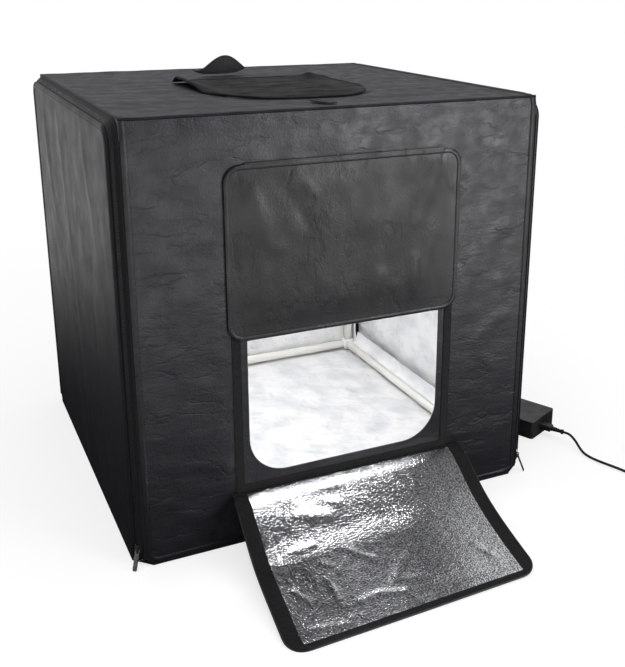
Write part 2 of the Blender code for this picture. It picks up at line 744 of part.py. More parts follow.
for side, word in ((-1, "left"), (1, "right")):
    place = at(side * ZIP_X, 0, 0) @ FACING_SIDE
    swept(word + "_zip_tape_shell", "black_tape", zip_path(tape_low, tape_low), tape_section(1, side), place)
    panel_tape = swept(
        word + "_zip_tape_side",
        "black_tape",
        zip_path(slider_top + FIT, tape_low),
        tape_section(-1, side),
        place,
    )

    # Side panel and its lining, which unzip and fold down about the floor's edge
    panel = flat(
        word + "_side_panel",
        "side_skin",
        [upright_outline(SIDE_Y, FLOOR_TOP, SIDE_TOP, CORNER_CUT, ZIP_CORNER - ZIP_INSET - FIT)],
        SKIN,
        at(side * (SIDE_X - SKIN / 2), 0, 0) @ FACING_SIDE,
    )
    hemmed = (SIDE_Y - SIDE_HEM, FLOOR_TOP + SIDE_HEM, SIDE_TOP - SIDE_HEM)
    lining = flat(
        word + "_side_lining",
        "silver_cloth",
        [upright_outline(*hemmed, CORNER_CUT, ZIP_CORNER - ZIP_INSET)],
        LINING,
        at(side * (SIDE_X - SKIN - FIT - LINING / 2), 0, 0) @ FACING_SIDE,
    )
    hang(pivot(word + "_side_hinge", at(side * SIDE_X, 0, FLOOR_TOP)), panel, lining, panel_tape)

    # Slider: two plates joined by a web between the teeth, with a bail that holds the pull
    slider_place = at(side * ZIP_X, -ZIP_Y, slider_z) @ Matrix.Rotation(side * math.pi / 4, 4, "Z")
    slider = as_mesh(
        flat(
            word + "_zip_slider",
            "dark_metal",
            [
                [
                    (-SLIDER_WIDTH / 2, -plate_out),
                    (SLIDER_WIDTH / 2, -plate_out),
                    (SLIDER_WIDTH / 2, -plate_in),
                    (SLIDER_WEB / 2, -web_root),
                    (SLIDER_WEB / 2, web_root),
                    (SLIDER_WIDTH / 2, plate_in),
                    (SLIDER_WIDTH / 2, plate_out),
                    (-SLIDER_WIDTH / 2, plate_out),
                    (-SLIDER_WIDTH / 2, plate_in),
                    (-SLIDER_WEB / 2, web_root),
                    (-SLIDER_WEB / 2, -web_root),
                    (-SLIDER_WIDTH / 2, -plate_in),
                ]
            ],
            SLIDER_LENGTH,
            slider_place,
        )
    )
    bail_top = plate_out + BAIL_ROOM + BAIL_WIRE
    bail_root = plate_out - SLIDER_PLATE / 2
    bail = flat(
        word + "_bail",
        "dark_metal",
        [
            [
                (-bail_root, -BAIL_LENGTH / 2),
                (-bail_root, -BAIL_LENGTH / 2 + BAIL_WIRE),
                (-bail_top + BAIL_WIRE, -BAIL_LENGTH / 2 + BAIL_WIRE),
                (-bail_top + BAIL_WIRE, BAIL_LENGTH / 2 - BAIL_WIRE),
                (-bail_root, BAIL_LENGTH / 2 - BAIL_WIRE),
                (-bail_root, BAIL_LENGTH / 2),
                (-bail_top + BAIL_WIRE / 2, BAIL_LENGTH / 2),
                (-bail_top, BAIL_LENGTH / 2 - BAIL_WIRE / 2),
                (-bail_top, -BAIL_LENGTH / 2 + BAIL_WIRE / 2),
                (-bail_top + BAIL_WIRE / 2, -BAIL_LENGTH / 2),
            ]
        ],
        BAIL_WIDTH,
        slider_place @ FACING_SIDE,
    )
    boolean(slider, "UNION", as_helper(as_mesh(bail)))

    # Pull: a flat tab whose eye goes round the bail, leaning on the table by its tip
    pull_place = slider_place @ at(0, -pull_stand, 0) @ Matrix.Rotation(-pull_tilt, 4, "X") @ FACING_FRONT
    pull = flat(
        word + "_zip_pull",
        "bare_metal",
        [
            rounded(
                (-PULL_WIDTH / 2, PULL_BAR / 2, 0),
                (-PULL_WIDTH / 2, -PULL_LENGTH, PULL_WIDTH / 3),
                (PULL_WIDTH / 2, -PULL_LENGTH, PULL_WIDTH / 3),
                (PULL_WIDTH / 2, PULL_BAR / 2, 0),
                steps=4,
            ),
            rectangle(-PULL_EYE_WIDTH / 2, PULL_EYE_WIDTH / 2, -PULL_EYE, -PULL_BAR / 2),
        ],
        PULL_THICK,
        pull_place,
    )
    hang(pivot(word + "_pull_hinge", slider_place @ at(0, -pull_stand, 0)), pull)

# Light bars: a finned channel with a hook over each upper side tube, and a board of chips under it
BAR_SHORT = 0.0144  # from the tubes' axes to the channel's ends
BAR_WIDTH = 0.026
BAR_WALL = 0.0016
BAR_BASE = 0.0020
BAR_LIP = 0.0030
FIN_HEIGHT = 0.0060
FINS = 5
BAR_DROP = 0.0154  # from the tubes' axes down to the channel's underside
HOOK_WALL = 0.0020
HOOK_LENGTH = 0.020
HOOK_OPEN_DEGREES = 30
HOOK_STEPS = 14
HOOK_FOOT = 0.0030
BOARD_SHORT = 0.020  # from the channel's ends to the board's
BOARD_SIDE = 0.0014  # between the board and the channel's walls
BOARD_THICK = 0.0016
CHIP_SIZE = (0.005, 0.005, 0.0014)
CHIPS = 18
CHIP_END = 0.012  # from the board's ends to the middles of the outer chips
FRONT_BAR_Y = -0.200
BACK_BAR_Y = 0.170
bar_half = FRAME_X - BAR_SHORT
bar_z = FRAME_HIGH - BAR_DROP
board_size = (2 * (bar_half - BOARD_SHORT), BAR_WIDTH - 2 * (BAR_WALL + BOARD_SIDE), BOARD_THICK)
chip_pitch = (board_size[0] - 2 * CHIP_END) / (CHIPS - 1)


def channel_outline():
    """The channel's section: lips below, and fins above whose outer two are flush with its sides."""
    half = BAR_WIDTH / 2
    inner = half - BAR_WALL
    loop = [(-half, -BAR_LIP), (-inner, -BAR_LIP), (-inner, 0)]
    loop += [(inner, 0), (inner, -BAR_LIP), (half, -BAR_LIP)]
    step = (BAR_WIDTH - BAR_WALL) / (FINS - 1)
    for fin in range(FINS):
        right = half - step * fin
        loop += [
            (right, BAR_BASE + FIN_HEIGHT),
            (right - BAR_WALL, BAR_BASE + FIN_HEIGHT),
            (right - BAR_WALL, BAR_BASE),
            (right - step, BAR_BASE),
        ]
    return loop[:-2]


def hook_outline():
    """Round the tube's outer side and top, down its inner side, and in over the channel's end."""
    inner = TUBE_RADIUS + FIT
    outer = inner + HOOK_WALL
    first = math.radians(-HOOK_OPEN_DEGREES)
    angles = [first + (math.pi - first) * step / HOOK_STEPS for step in range(HOOK_STEPS + 1)]
    foot_low = -BAR_DROP + BAR_BASE / 2 - HOOK_FOOT / 2
    foot_in = -BAR_SHORT - 3 * SEW_UNDER
    loop = [(outer * math.cos(angle), outer * math.sin(angle)) for angle in angles]
    loop += [
        (-outer, foot_low + HOOK_FOOT),
        (foot_in, foot_low + HOOK_FOOT),
        (foot_in, foot_low),
        (-inner, foot_low),
    ]
    loop += [(inner * math.cos(angle), inner * math.sin(angle)) for angle in reversed(angles)]
    return loop


for word, bar_y in (("front", FRONT_BAR_Y), ("back", BACK_BAR_Y)):
    bar_place = at(0, bar_y, bar_z) @ FACING_SIDE
    channel = flat(word + "_light_housing", "bare_metal", [channel_outline()], 2 * bar_half, bar_place)
    housing = as_mesh(channel)
    for side, end in ((-1, "left"), (1, "right")):
        hook = flat(
            f"{word}_{end}_hook",
            "bare_metal",
            [hook_outline()],
            HOOK_LENGTH,
            at(side * FRAME_X, bar_y, FRAME_HIGH) @ Matrix.Diagonal((side, 1, 1, 1)) @ FACING_FRONT,
        )
        boolean(housing, "UNION", as_helper(as_mesh(hook)))
    board_z = bar_z - FIT - BOARD_THICK / 2
    board = block(word + "_light_board", "circuit_white", board_size, at(0, bar_y, board_z))
    chips = block(
        word + "_chips",
        "circuit_white",
        CHIP_SIZE,
        at(-chip_pitch * (CHIPS - 1) / 2, bar_y, board_z - BOARD_THICK / 2 - CHIP_SIZE[2] / 4),
    )
    row = chips.modifiers.new("row", "ARRAY")
    row.count = CHIPS
    row.use_relative_offset = False
    row.use_constant_offset = True
    row.constant_offset_displace = (chip_pitch, 0, 0)
    boolean(board, "UNION", as_helper(chips))
    hang(pivot(word + "_light_slide", at(0, bar_y, bar_z)), housing, board)

# Mains adapter: a tray and a cover with louvres in both ends, and the circuit board between them
ADAPTER_AT = (0.4265, -0.2050)  # the foot of the middle of the end that the lead leaves
ADAPTER_TURN_DEGREES = 24.8
ADAPTER_WIDTH = 0.076
ADAPTER_LENGTH = 0.130
ADAPTER_HEIGHT = 0.031
TRAY_HEIGHT = 0.010
CASE_ROUND = 0.005
CASE_WALL = 0.0022
CASE_END = 0.010
CASE_BEVEL = 0.0012
LOUVRES = 9
LOUVRE_PITCH = 0.0050
LOUVRE_WIDTH = 0.0020
LOUVRE_DEPTH = 0.0016
LOUVRE_DROP = 0.0180  # how far down from the top edge the louvres reach
LOUVRE_SHIFT = 0.0110
INLET_X = -0.007
INLET_Z = 0.016
INLET_SIZE = (0.0146, 0.0101)
INLET_DEPTH = 0.0060
OUTLET_RADIUS = 0.0045
OUTLET_DEPTH = 0.0030
CIRCUIT_SIZE = (0.064, 0.104, 0.0016)
adapter_turn = Matrix.Rotation(math.radians(ADAPTER_TURN_DEGREES), 4, "Z")
adapter_place = at(ADAPTER_AT[0], ADAPTER_AT[1], 0) @ adapter_turn


def case_outline(inset):
    half = ADAPTER_WIDTH / 2 - inset
    return rectangle(-half, half, inset, ADAPTER_LENGTH - inset, CASE_ROUND)


def case_box(name, low, high, bevel):
    """One half of the case: the outline given its height, with its top edge bevelled if asked."""
    shell = as_mesh(
        flat(name, "black_plastic", [case_outline(0)], high - low, adapter_place @ at(0, 0, (low + high) / 2))
    )
    if bevel:
        edge = shell.modifiers.new("edges", "BEVEL")
        edge.width = bevel
        edge.segments = 2
        edge.limit_method = "ANGLE"
        edge.angle_limit = math.radians(60)
    return shell


def case_hollow(name, low, high):
    length = ADAPTER_LENGTH - 2 * CASE_END
    width = ADAPTER_WIDTH - 2 * CASE_WALL
    middle = adapter_place @ at(0, ADAPTER_LENGTH / 2, (low + high) / 2)
    return as_helper(block(name, "black_plastic", (width, length, high - low), middle))


tray = case_box("adapter_tray", 0, TRAY_HEIGHT, 0)
boolean(tray, "DIFFERENCE", case_hollow("tray_hollow", CASE_WALL, TRAY_HEIGHT + OVERRUN))
cover = case_box("adapter_cover", TRAY_HEIGHT + FIT, ADAPTER_HEIGHT, CASE_BEVEL)
louvre_cutters = []
for end, word in ((0, "near"), (ADAPTER_LENGTH, "far")):
    slots = block(
        word + "_louvres",
        "black_plastic",
        (LOUVRE_WIDTH, 2 * LOUVRE_DEPTH, 2 * LOUVRE_DROP),
        adapter_place @ at(LOUVRE_SHIFT - LOUVRE_PITCH * (LOUVRES - 1) / 2, end, ADAPTER_HEIGHT),
    )
    row = slots.modifiers.new("row", "ARRAY")
    row.count = LOUVRES
    row.use_relative_offset = False
    row.use_constant_offset = True
    row.constant_offset_displace = (LOUVRE_PITCH, 0, 0)
    louvre_cutters.append(as_helper(slots))
inlet = block(
    "inlet_cutter",
    "black_plastic",
    (INLET_SIZE[0], 2 * INLET_DEPTH, INLET_SIZE[1]),
    adapter_place @ at(INLET_X, 0, INLET_Z),
)
outlet = turned(
    "outlet_cutter",
    "black_plastic",
    [(0, OUTLET_DEPTH), (OUTLET_RADIUS, OUTLET_DEPTH), (OUTLET_RADIUS, -OUTLET_DEPTH), (0, -OUTLET_DEPTH)],
    adapter_place @ at(0, ADAPTER_LENGTH, INLET_Z) @ AXIS_TURNS["y"],
    False,
    16,
)
boolean(
    cover,
    "DIFFERENCE",
    *louvre_cutters,
    as_helper(inlet),
    as_helper(outlet),
    case_hollow("cover_hollow", TRAY_HEIGHT - OVERRUN, ADAPTER_HEIGHT - CASE_WALL),
)
block(
    "adapter_circuit",
    "circuit_white",
    CIRCUIT_SIZE,
    adapter_place @ at(0, ADAPTER_LENGTH / 2, CASE_WALL + FIT + CIRCUIT_SIZE[2] / 2),
)

# Mains connector: a moulded nose in the adapter's inlet, and a ribbed sleeve that tapers to the lead
NOSE = 0.0057
CONNECTOR_SIZE = (0.0140, 0.0095)
CONNECTOR_OUT = 0.020
CONNECTOR_ROUND = 0.0012
SLEEVE_END = 0.0414
SLEEVE_RADII = (0.0044, 0.0030)
SLEEVE_RIBS = 5
RIB_WIDTH = 0.0018
RIB_DEPTH = 0.0006
COLLAR_RADIUS = 0.0043
COLLAR_LENGTH = 0.0022
CORD_RADIUS = 0.0021
connector_place = adapter_place @ at(INLET_X, 0, INLET_Z) @ AXIS_TURNS["y"] @ Matrix.Rotation(math.pi, 4, "X")


def sleeve_profile(length, radii, ribs):
    """A tapering sleeve with grooves between its ribs, from its collar at the top down to its root."""
    profile = [(0, length), (COLLAR_RADIUS, length), (COLLAR_RADIUS, length - COLLAR_LENGTH)]
    pitch = (length - COLLAR_LENGTH) / (ribs + 1)
    for rib in range(ribs):
        top = length - COLLAR_LENGTH - pitch * (rib + 1) + RIB_WIDTH / 2
        radius = radii[1] + (radii[0] - radii[1]) * (rib + 1) / ribs
        profile += [
            (radius - RIB_DEPTH, top),
            (radius, top),
            (radius, top - RIB_WIDTH),
            (radius - RIB_DEPTH, top - RIB_WIDTH),
        ]
    return profile + [(radii[0] - RIB_DEPTH, 0), (0, 0)]


connector = block(
    "mains_connector",
    "black_rubber",
    (*CONNECTOR_SIZE, NOSE + CONNECTOR_OUT),
    connector_place @ at(0, 0, (CONNECTOR_OUT - NOSE) / 2),
    CONNECTOR_ROUND,
    2,
)
sleeve = turned(
    "connector_sleeve",
    "black_rubber",
    sleeve_profile(SLEEVE_END - CONNECTOR_OUT + SEW_UNDER, SLEEVE_RADII, SLEEVE_RIBS),
    connector_place @ at(0, 0, CONNECTOR_OUT - SEW_UNDER),
    False,
    16,
)
boolean(connector, "UNION", as_helper(as_mesh(sleeve)))

# Mains lead: from the connector down to the table and into the coil
COIL_AT = (0.4951, -0.4016)
COIL_START_DEGREES = 185
COIL_TURNS = 3.25  # in each of its two layers
COIL_OUTER = 0.0326
COIL_PITCH = 0.0047
COIL_LOW = 0.0032
COIL_RISE = 0.0047
COIL_POINTS = 24  # in a loop
CLIMB = (3.0, 3.5)  # the turns between which it climbs to the upper layer
COIL_LEAVE = 0.013  # how far it runs straight before the plug's sleeve
ROUTE_SPACING = 0.010
LEAD_END = 0.0005  # between the ends of the pieces of the lead
ROUTE = (
    (0.4420, -0.2640, 0.0148),
    (0.4412, -0.2760, 0.0112),
    (0.4392, -0.2880, 0.0068),
    (0.4378, -0.3010, 0.0034),
    (0.4388, -0.3160, 0.0026),
    (0.4430, -0.3330, 0.0026),
    (0.4500, -0.3520, 0.0027),
    (0.4570, -0.3720, 0.0029),
    (0.4610, -0.3880, 0.0031),
)


def coil_point(turns):
    """The coil's middle line, a number of turns after its start."""
    inner = COIL_OUTER - COIL_PITCH * COIL_TURNS
    radius = inner + COIL_PITCH * abs(COIL_TURNS - turns)
    share = min(max((turns - CLIMB[0]) / (CLIMB[1] - CLIMB[0]), 0), 1)
    angle = math.radians(COIL_START_DEGREES) + 2 * math.pi * turns
    height = COIL_LOW + COIL_RISE * (3 - 2 * share) * share * share
    return Vector((COIL_AT[0] + radius * math.cos(angle), COIL_AT[1] + radius * math.sin(angle), height))


def smooth_route(knots, spacing):
    """An even-spaced Catmull-Rom curve through knots."""
    fine = []
    padded = [2 * knots[0] - knots[1], *knots, 2 * knots[-1] - knots[-2]]
    for a, b, c, d in zip(padded, padded[1:], padded[2:], padded[3:]):
        for step in range(SUBSTEPS):
            t = step / SUBSTEPS
            square, cube = (2 * a - 5 * b + 4 * c - d) * t**2, (3 * b - a - 3 * c + d) * t**3
            fine.append((2 * b + (c - a) * t + square + cube) / 2)
    fine.append(knots[-1])
    lengths = [0]
    for before, after in zip(fine, fine[1:]):
        lengths.append(lengths[-1] + (after - before).length)
    count = round(lengths[-1] / spacing)
    points, index = [], 0
    for step in range(count + 1):
        want = lengths[-1] * step / count
        while index < len(fine) - 2 and lengths[index + 1] < want:
            index += 1
        share = (want - lengths[index]) / (lengths[index + 1] - lengths[index])
        points.append(fine[index].lerp(fine[index + 1], share))
    return points


def least_gap(points, radius, skip):
    """The narrowest gap between two stretches of a cord at least some points apart."""
    gap = math.inf
    for i in range(len(points) - 1):
        for j in range(i + skip, len(points) - 1):
            for step in range(GAP_STEPS):
                here = points[i].lerp(points[i + 1], step / GAP_STEPS)
                way = points[j + 1] - points[j]
                share = min(max((here - points[j]).dot(way) / way.length_squared, 0), 1)
                gap = min(gap, (here - points[j] - way * share).length - 2 * radius)
    return gap


SUBSTEPS = 12
GAP_STEPS = 4
steps = round(2 * COIL_TURNS * COIL_POINTS)
coil = [coil_point(2 * COIL_TURNS * step / steps) for step in range(steps + 1)]
coil_in = (coil[0] - coil[1]).normalized()
coil_out = (coil[-1] - coil[-2]).normalized()
coil_in.z = coil_out.z = 0
coil = [coil[0] + coil_in * 2 * CORD_RADIUS, *coil, coil[-1] + coil_out * COIL_LEAVE]
tube("cord_coil", "black_rubber", coil, CORD_RADIUS, 1)
lead_start = connector_place @ Vector((0, 0, SLEEVE_END + LEAD_END))
lead_out = connector_place @ Vector((0, 0, SLEEVE_END + ROUTE_SPACING))
lead_end = coil[0] + coil_in * LEAD_END
lead = smooth_route([lead_start, lead_out, *map(Vector, ROUTE), lead_end], ROUTE_SPACING)
tube("mains_cord", "black_rubber", lead, CORD_RADIUS, 2)
lead_length = sum((after - before).length for before, after in zip(lead, lead[1:]))
coil_length = sum((after - before).length for before, after in zip(coil, coil[1:]))
print(f"lead: {lead_length:.3f} m free and {coil_length:.3f} m in the coil")
print(f"least gap of the coil to itself: {least_gap(coil, CORD_RADIUS, COIL_POINTS // 2) * 1000:.2f} mm")

# Cord tie: a band round all the turns
TIE_DEGREES = 275
TIE_WIDTH = 0.006
TIE_WALL = 0.0007
TIE_ROUND = 0.003
tie_inner = COIL_OUTER - COIL_PITCH * COIL_TURNS - CORD_RADIUS - FIT
tie_outer = COIL_OUTER + CORD_RADIUS + FIT
tie_low = COIL_LOW - CORD_RADIUS - FIT
tie_high = COIL_LOW + COIL_RISE + CORD_RADIUS + FIT


def tie_outline(wall):
    return rectangle(tie_inner - wall, tie_outer + wall, tie_low - wall, tie_high + wall, TIE_ROUND + wall)


flat(
    "cord_tie",
    "black_tape",
    [tie_outline(TIE_WALL), tie_outline(0)],
    TIE_WIDTH,
    at(COIL_AT[0], COIL_AT[1], 0) @ Matrix.Rotation(math.radians(TIE_DEGREES), 4, "Z") @ FACING_FRONT,
)

# Mains plug: a flat moulded two-pin plug at the coil's outer end
PLUG_WIDTH = 0.035
PLUG_NECK = 0.012
PLUG_THICK = 0.0137
PLUG_LENGTH = 0.036
PLUG_ROUND = 0.004
PLUG_SLEEVE = 0.018
PIN_RADIUS = 0.0020
PIN_LENGTH = 0.019
PIN_APART = 0.019
plug_turn = math.atan2(coil_out.y, coil_out.x) - math.pi / 2
plug_at = coil[-1] + coil_out * LEAD_END
plug_place = at(plug_at.x, plug_at.y, COIL_LOW + COIL_RISE) @ Matrix.Rotation(plug_turn, 4, "Z")
body_start = PLUG_SLEEVE - SEW_UNDER
body_end = body_start + PLUG_LENGTH
plug = as_mesh(
    flat(
        "mains_plug",
        "black_rubber",
        [
            rounded(
                (-PLUG_NECK / 2, body_start, PLUG_ROUND / 2),
                (PLUG_NECK / 2, body_start, PLUG_ROUND / 2),
                (PLUG_WIDTH / 2, body_start + PLUG_LENGTH / 2, PLUG_ROUND),
                (PLUG_WIDTH / 2, body_end, PLUG_ROUND / 2),
                (-PLUG_WIDTH / 2, body_end, PLUG_ROUND / 2),
                (-PLUG_WIDTH / 2, body_start + PLUG_LENGTH / 2, PLUG_ROUND),
            )
        ],
        PLUG_THICK,
        plug_place,
    )
)
plug_sleeve = turned(
    "plug_sleeve",
    "black_rubber",
    sleeve_profile(PLUG_SLEEVE, SLEEVE_RADII, SLEEVE_RIBS),
    plug_place @ at(0, PLUG_SLEEVE, 0) @ AXIS_TURNS["y"] @ Matrix.Rotation(math.pi, 4, "X"),
    False,
    16,
)
pins = [
    turned(
        word + "_pin",
        "bare_metal",
        [(0, PIN_LENGTH), (PIN_RADIUS, PIN_LENGTH), (PIN_RADIUS, -SEW_UNDER), (0, -SEW_UNDER)],
        plug_place @ at(side * PIN_APART / 2, body_end, 0) @ AXIS_TURNS["y"],
        False,
        12,
    )
    for side, word in ((-1, "left"), (1, "right"))
]
boolean(plug, "UNION", as_helper(as_mesh(plug_sleeve)), *(as_helper(as_mesh(pin)) for pin in pins))
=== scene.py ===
"""Light tent cube: the looks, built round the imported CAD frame.

Metres. The front faces -Y, +X is to the right and +Z is up. Each section makes one piece, or one group
of like pieces, in the order in which the tent is put together and set up.
"""

import json
import math

import bmesh
import bpy
from mathutils import Matrix, Vector, noise

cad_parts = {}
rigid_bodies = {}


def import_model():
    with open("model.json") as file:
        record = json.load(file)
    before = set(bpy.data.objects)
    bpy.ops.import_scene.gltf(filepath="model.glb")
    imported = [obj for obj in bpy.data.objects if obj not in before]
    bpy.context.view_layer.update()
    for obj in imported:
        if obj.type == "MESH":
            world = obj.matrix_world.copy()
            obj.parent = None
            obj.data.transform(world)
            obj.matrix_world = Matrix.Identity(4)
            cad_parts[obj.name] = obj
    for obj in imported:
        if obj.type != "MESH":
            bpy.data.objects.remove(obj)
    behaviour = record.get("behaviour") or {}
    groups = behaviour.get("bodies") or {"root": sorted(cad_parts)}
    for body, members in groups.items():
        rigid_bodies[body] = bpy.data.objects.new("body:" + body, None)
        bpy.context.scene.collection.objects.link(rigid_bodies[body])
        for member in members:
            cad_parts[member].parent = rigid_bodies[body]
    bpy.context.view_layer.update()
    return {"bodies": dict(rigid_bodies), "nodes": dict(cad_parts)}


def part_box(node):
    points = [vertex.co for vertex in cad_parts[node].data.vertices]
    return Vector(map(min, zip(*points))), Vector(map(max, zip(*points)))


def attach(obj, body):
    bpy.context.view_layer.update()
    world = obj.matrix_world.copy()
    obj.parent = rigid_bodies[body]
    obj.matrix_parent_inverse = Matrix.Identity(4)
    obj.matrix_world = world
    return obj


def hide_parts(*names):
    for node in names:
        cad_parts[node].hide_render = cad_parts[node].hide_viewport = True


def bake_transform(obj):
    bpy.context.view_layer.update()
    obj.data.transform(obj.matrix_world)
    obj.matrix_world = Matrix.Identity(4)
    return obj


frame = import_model()
nodes = frame["nodes"]
scene = bpy.context.scene

# Camera: at the photograph's place, a little above the tent's top and to the left of its front.
# The lens is given for the 36 mm long side of a 625 x 667 picture, and the shift is that picture's crop.
CAMERA_AT = (-0.52792, -1.39124, 0.75387)
CAMERA_RIGHT = Vector((0.90208, -0.43155, 0.00411))
CAMERA_UP = Vector((0.12051, 0.26102, 0.95778))
CAMERA_BACK = Vector((-0.41440, -0.86350, 0.28746))
CAMERA_LENS = 50.451
CAMERA_SHIFT = (-0.0487, -0.1072)

camera = bpy.data.objects.new("camera", bpy.data.cameras.new("camera"))
camera.data.sensor_width = 36
camera.data.lens = CAMERA_LENS
camera.data.shift_x, camera.data.shift_y = CAMERA_SHIFT
camera.data.clip_start = 0.05
turn = Matrix((CAMERA_RIGHT, CAMERA_UP, CAMERA_BACK)).transposed().to_4x4()
camera.matrix_world = Matrix.Translation(CAMERA_AT) @ turn
scene.collection.objects.link(camera)
scene.camera = camera
scene.view_settings.view_transform = "Standard"

# Studio: a pale floor that keeps the tent's shadow, in a white surround. In mirrored rays the floor is
# bright away from the tent and dark close to it, the backdrop is bright low down, and the room in front and
# above is dim.
FLOOR_REACH = 6.0
FLOOR_GREY = 0.36
FLOOR_WHITE = 0.70
FLOOR_FAR = (0.6, 1.7)
FLOOR_SHINE = (0.45, 1.9, 0.03, 1.0)
SURROUND_LIGHT = 0.55
FLOOR_UNDER = 0.0004
ROOM_DIM, BACKDROP, CEILING = 0.12, 0.75, 0.20
BEHIND_EDGE = (-0.3, 0.3)
BACKDROP_EDGE = (0.74, 0.88)


def shader_nodes(material):
    """The node tree of a new material, emptied, with its output."""
    material.use_nodes = True
    tree = material.node_tree
    tree.nodes.clear()
    return tree, tree.nodes.new("ShaderNodeOutputMaterial")


def sum_of(tree, action, first, second):
    """A sum worked out in the tree from two numbers or sockets."""
    node = tree.nodes.new("ShaderNodeMath")
    node.operation = action
    for socket, value in zip(node.inputs, (first, second)):
        if isinstance(value, float):
            socket.default_value = value
        else:
            tree.links.new(value, socket)
    return node.outputs[0]


def spread(tree, value, low, high, to_low, to_high, soft=True):
    """A number that goes from to_low to to_high while the value goes from low to high."""
    node = tree.nodes.new("ShaderNodeMapRange")
    node.interpolation_type = "SMOOTHSTEP" if soft else "LINEAR"
    for socket, number in zip(("From Min", "From Max", "To Min", "To Max"), (low, high, to_low, to_high)):
        node.inputs[socket].default_value = number
    tree.links.new(value, node.inputs["Value"])
    return node.outputs["Result"]


def by_ray(tree, seen, mirrored, lit):
    """A strength for rays from the camera or through a pane, one for mirrored rays, and one for light."""
    path = tree.nodes.new("ShaderNodeLightPath")
    camera_ray = sum_of(tree, "MAXIMUM", path.outputs["Is Camera Ray"], path.outputs["Is Transmission Ray"])
    mirror_ray = path.outputs["Is Glossy Ray"]
    other_ray = sum_of(tree, "SUBTRACT", 1.0, sum_of(tree, "MAXIMUM", camera_ray, mirror_ray))
    shares = [sum_of(tree, "MULTIPLY", ray, value)
              for ray, value in ((camera_ray, seen), (mirror_ray, mirrored), (other_ray, lit))]
    return sum_of(tree, "ADD", sum_of(tree, "ADD", shares[0], shares[1]), shares[2])


floor_paint = bpy.data.materials.new("studio_floor")
tree, output = shader_nodes(floor_paint)
space = tree.nodes.new("ShaderNodeTexCoord")
away = tree.nodes.new("ShaderNodeVectorMath")
away.operation = "LENGTH"
tree.links.new(space.outputs["Object"], away.inputs[0])
far = spread(tree, away.outputs["Value"], *FLOOR_FAR, 0.0, 1.0)
mirrored = spread(tree, away.outputs["Value"], *FLOOR_SHINE)
path = tree.nodes.new("ShaderNodeLightPath")
far = sum_of(tree, "MAXIMUM", far, path.outputs["Is Glossy Ray"])
matt = tree.nodes.new("ShaderNodeBsdfDiffuse")
matt.inputs["Color"].default_value = (FLOOR_GREY, FLOOR_GREY, FLOOR_GREY, 1)
near_glow = tree.nodes.new("ShaderNodeEmission")
tree.links.new(by_ray(tree, FLOOR_WHITE, 0.0, 0.0), near_glow.inputs["Strength"])
near = tree.nodes.new("ShaderNodeAddShader")
tree.links.new(matt.outputs[0], near.inputs[0])
tree.links.new(near_glow.outputs[0], near.inputs[1])
far_glow = tree.nodes.new("ShaderNodeEmission")
tree.links.new(by_ray(tree, 1.0, mirrored, FLOOR_GREY), far_glow.inputs["Strength"])
both = tree.nodes.new("ShaderNodeMixShader")
tree.links.new(far, both.inputs["Fac"])
tree.links.new(near.outputs[0], both.inputs[1])
tree.links.new(far_glow.outputs[0], both.inputs[2])
tree.links.new(both.outputs[0], output.inputs["Surface"])

floor_mesh = bpy.data.meshes.new("studio_floor")
shape = bmesh.new()
bmesh.ops.create_grid(shape, x_segments=1, y_segments=1, size=FLOOR_REACH)
shape.to_mesh(floor_mesh)
shape.free()
floor_mesh.materials.append(floor_paint)
floor = bpy.data.objects.new("studio_floor", floor_mesh)
floor.location.z = -FLOOR_UNDER
scene.collection.objects.link(floor)

surround = bpy.data.worlds.new("surround")
surround.use_nodes = True
tree = surround.node_tree
background = tree.nodes["Background"]
background.inputs["Color"].default_value = (1, 1, 1, 1)
space = tree.nodes.new("ShaderNodeTexCoord")
way = tree.nodes.new("ShaderNodeSeparateXYZ")
tree.links.new(space.outputs["Generated"], way.inputs[0])
behind = spread(tree, way.outputs["Y"], *BEHIND_EDGE, 0.0, 1.0)
backdrop = spread(tree, way.outputs["Z"], *BACKDROP_EDGE, BACKDROP - ROOM_DIM, CEILING - ROOM_DIM)
mirrored = sum_of(tree, "ADD", sum_of(tree, "MULTIPLY", behind, backdrop), ROOM_DIM)
tree.links.new(by_ray(tree, 1.0, mirrored, SURROUND_LIGHT), background.inputs["Strength"])
scene.world = surround


def soft_lamp(name, place, target, size, power):
    """A soft box that hangs out of the camera's sight and shines from its place to a target."""
    lamp = bpy.data.lights.new(name, "AREA")
    lamp.shape = "RECTANGLE"
    lamp.size, lamp.size_y = size
    lamp.energy = power
    obj = bpy.data.objects.new(name, lamp)
    obj.location = place
    obj.rotation_euler = (Vector(place) - Vector(target)).to_track_quat("Z", "Y").to_euler()
    obj.visible_camera = False
    scene.collection.objects.link(obj)
    return obj


soft_lamp("lamp_overhead", (-0.4, -0.3, 2.4), (0, 0, 0.3), (1.6, 1.6), 20).visible_glossy = False
soft_lamp("lamp_front_right", (1.3, -2.2, 1.9), (0, 0, 0.30), (1.2, 1.2), 18)
soft_lamp("lamp_strip", (1.25, -2.3, 0.45), (0.1, -0.3, 0.45), (0.45, 0.8), 6)

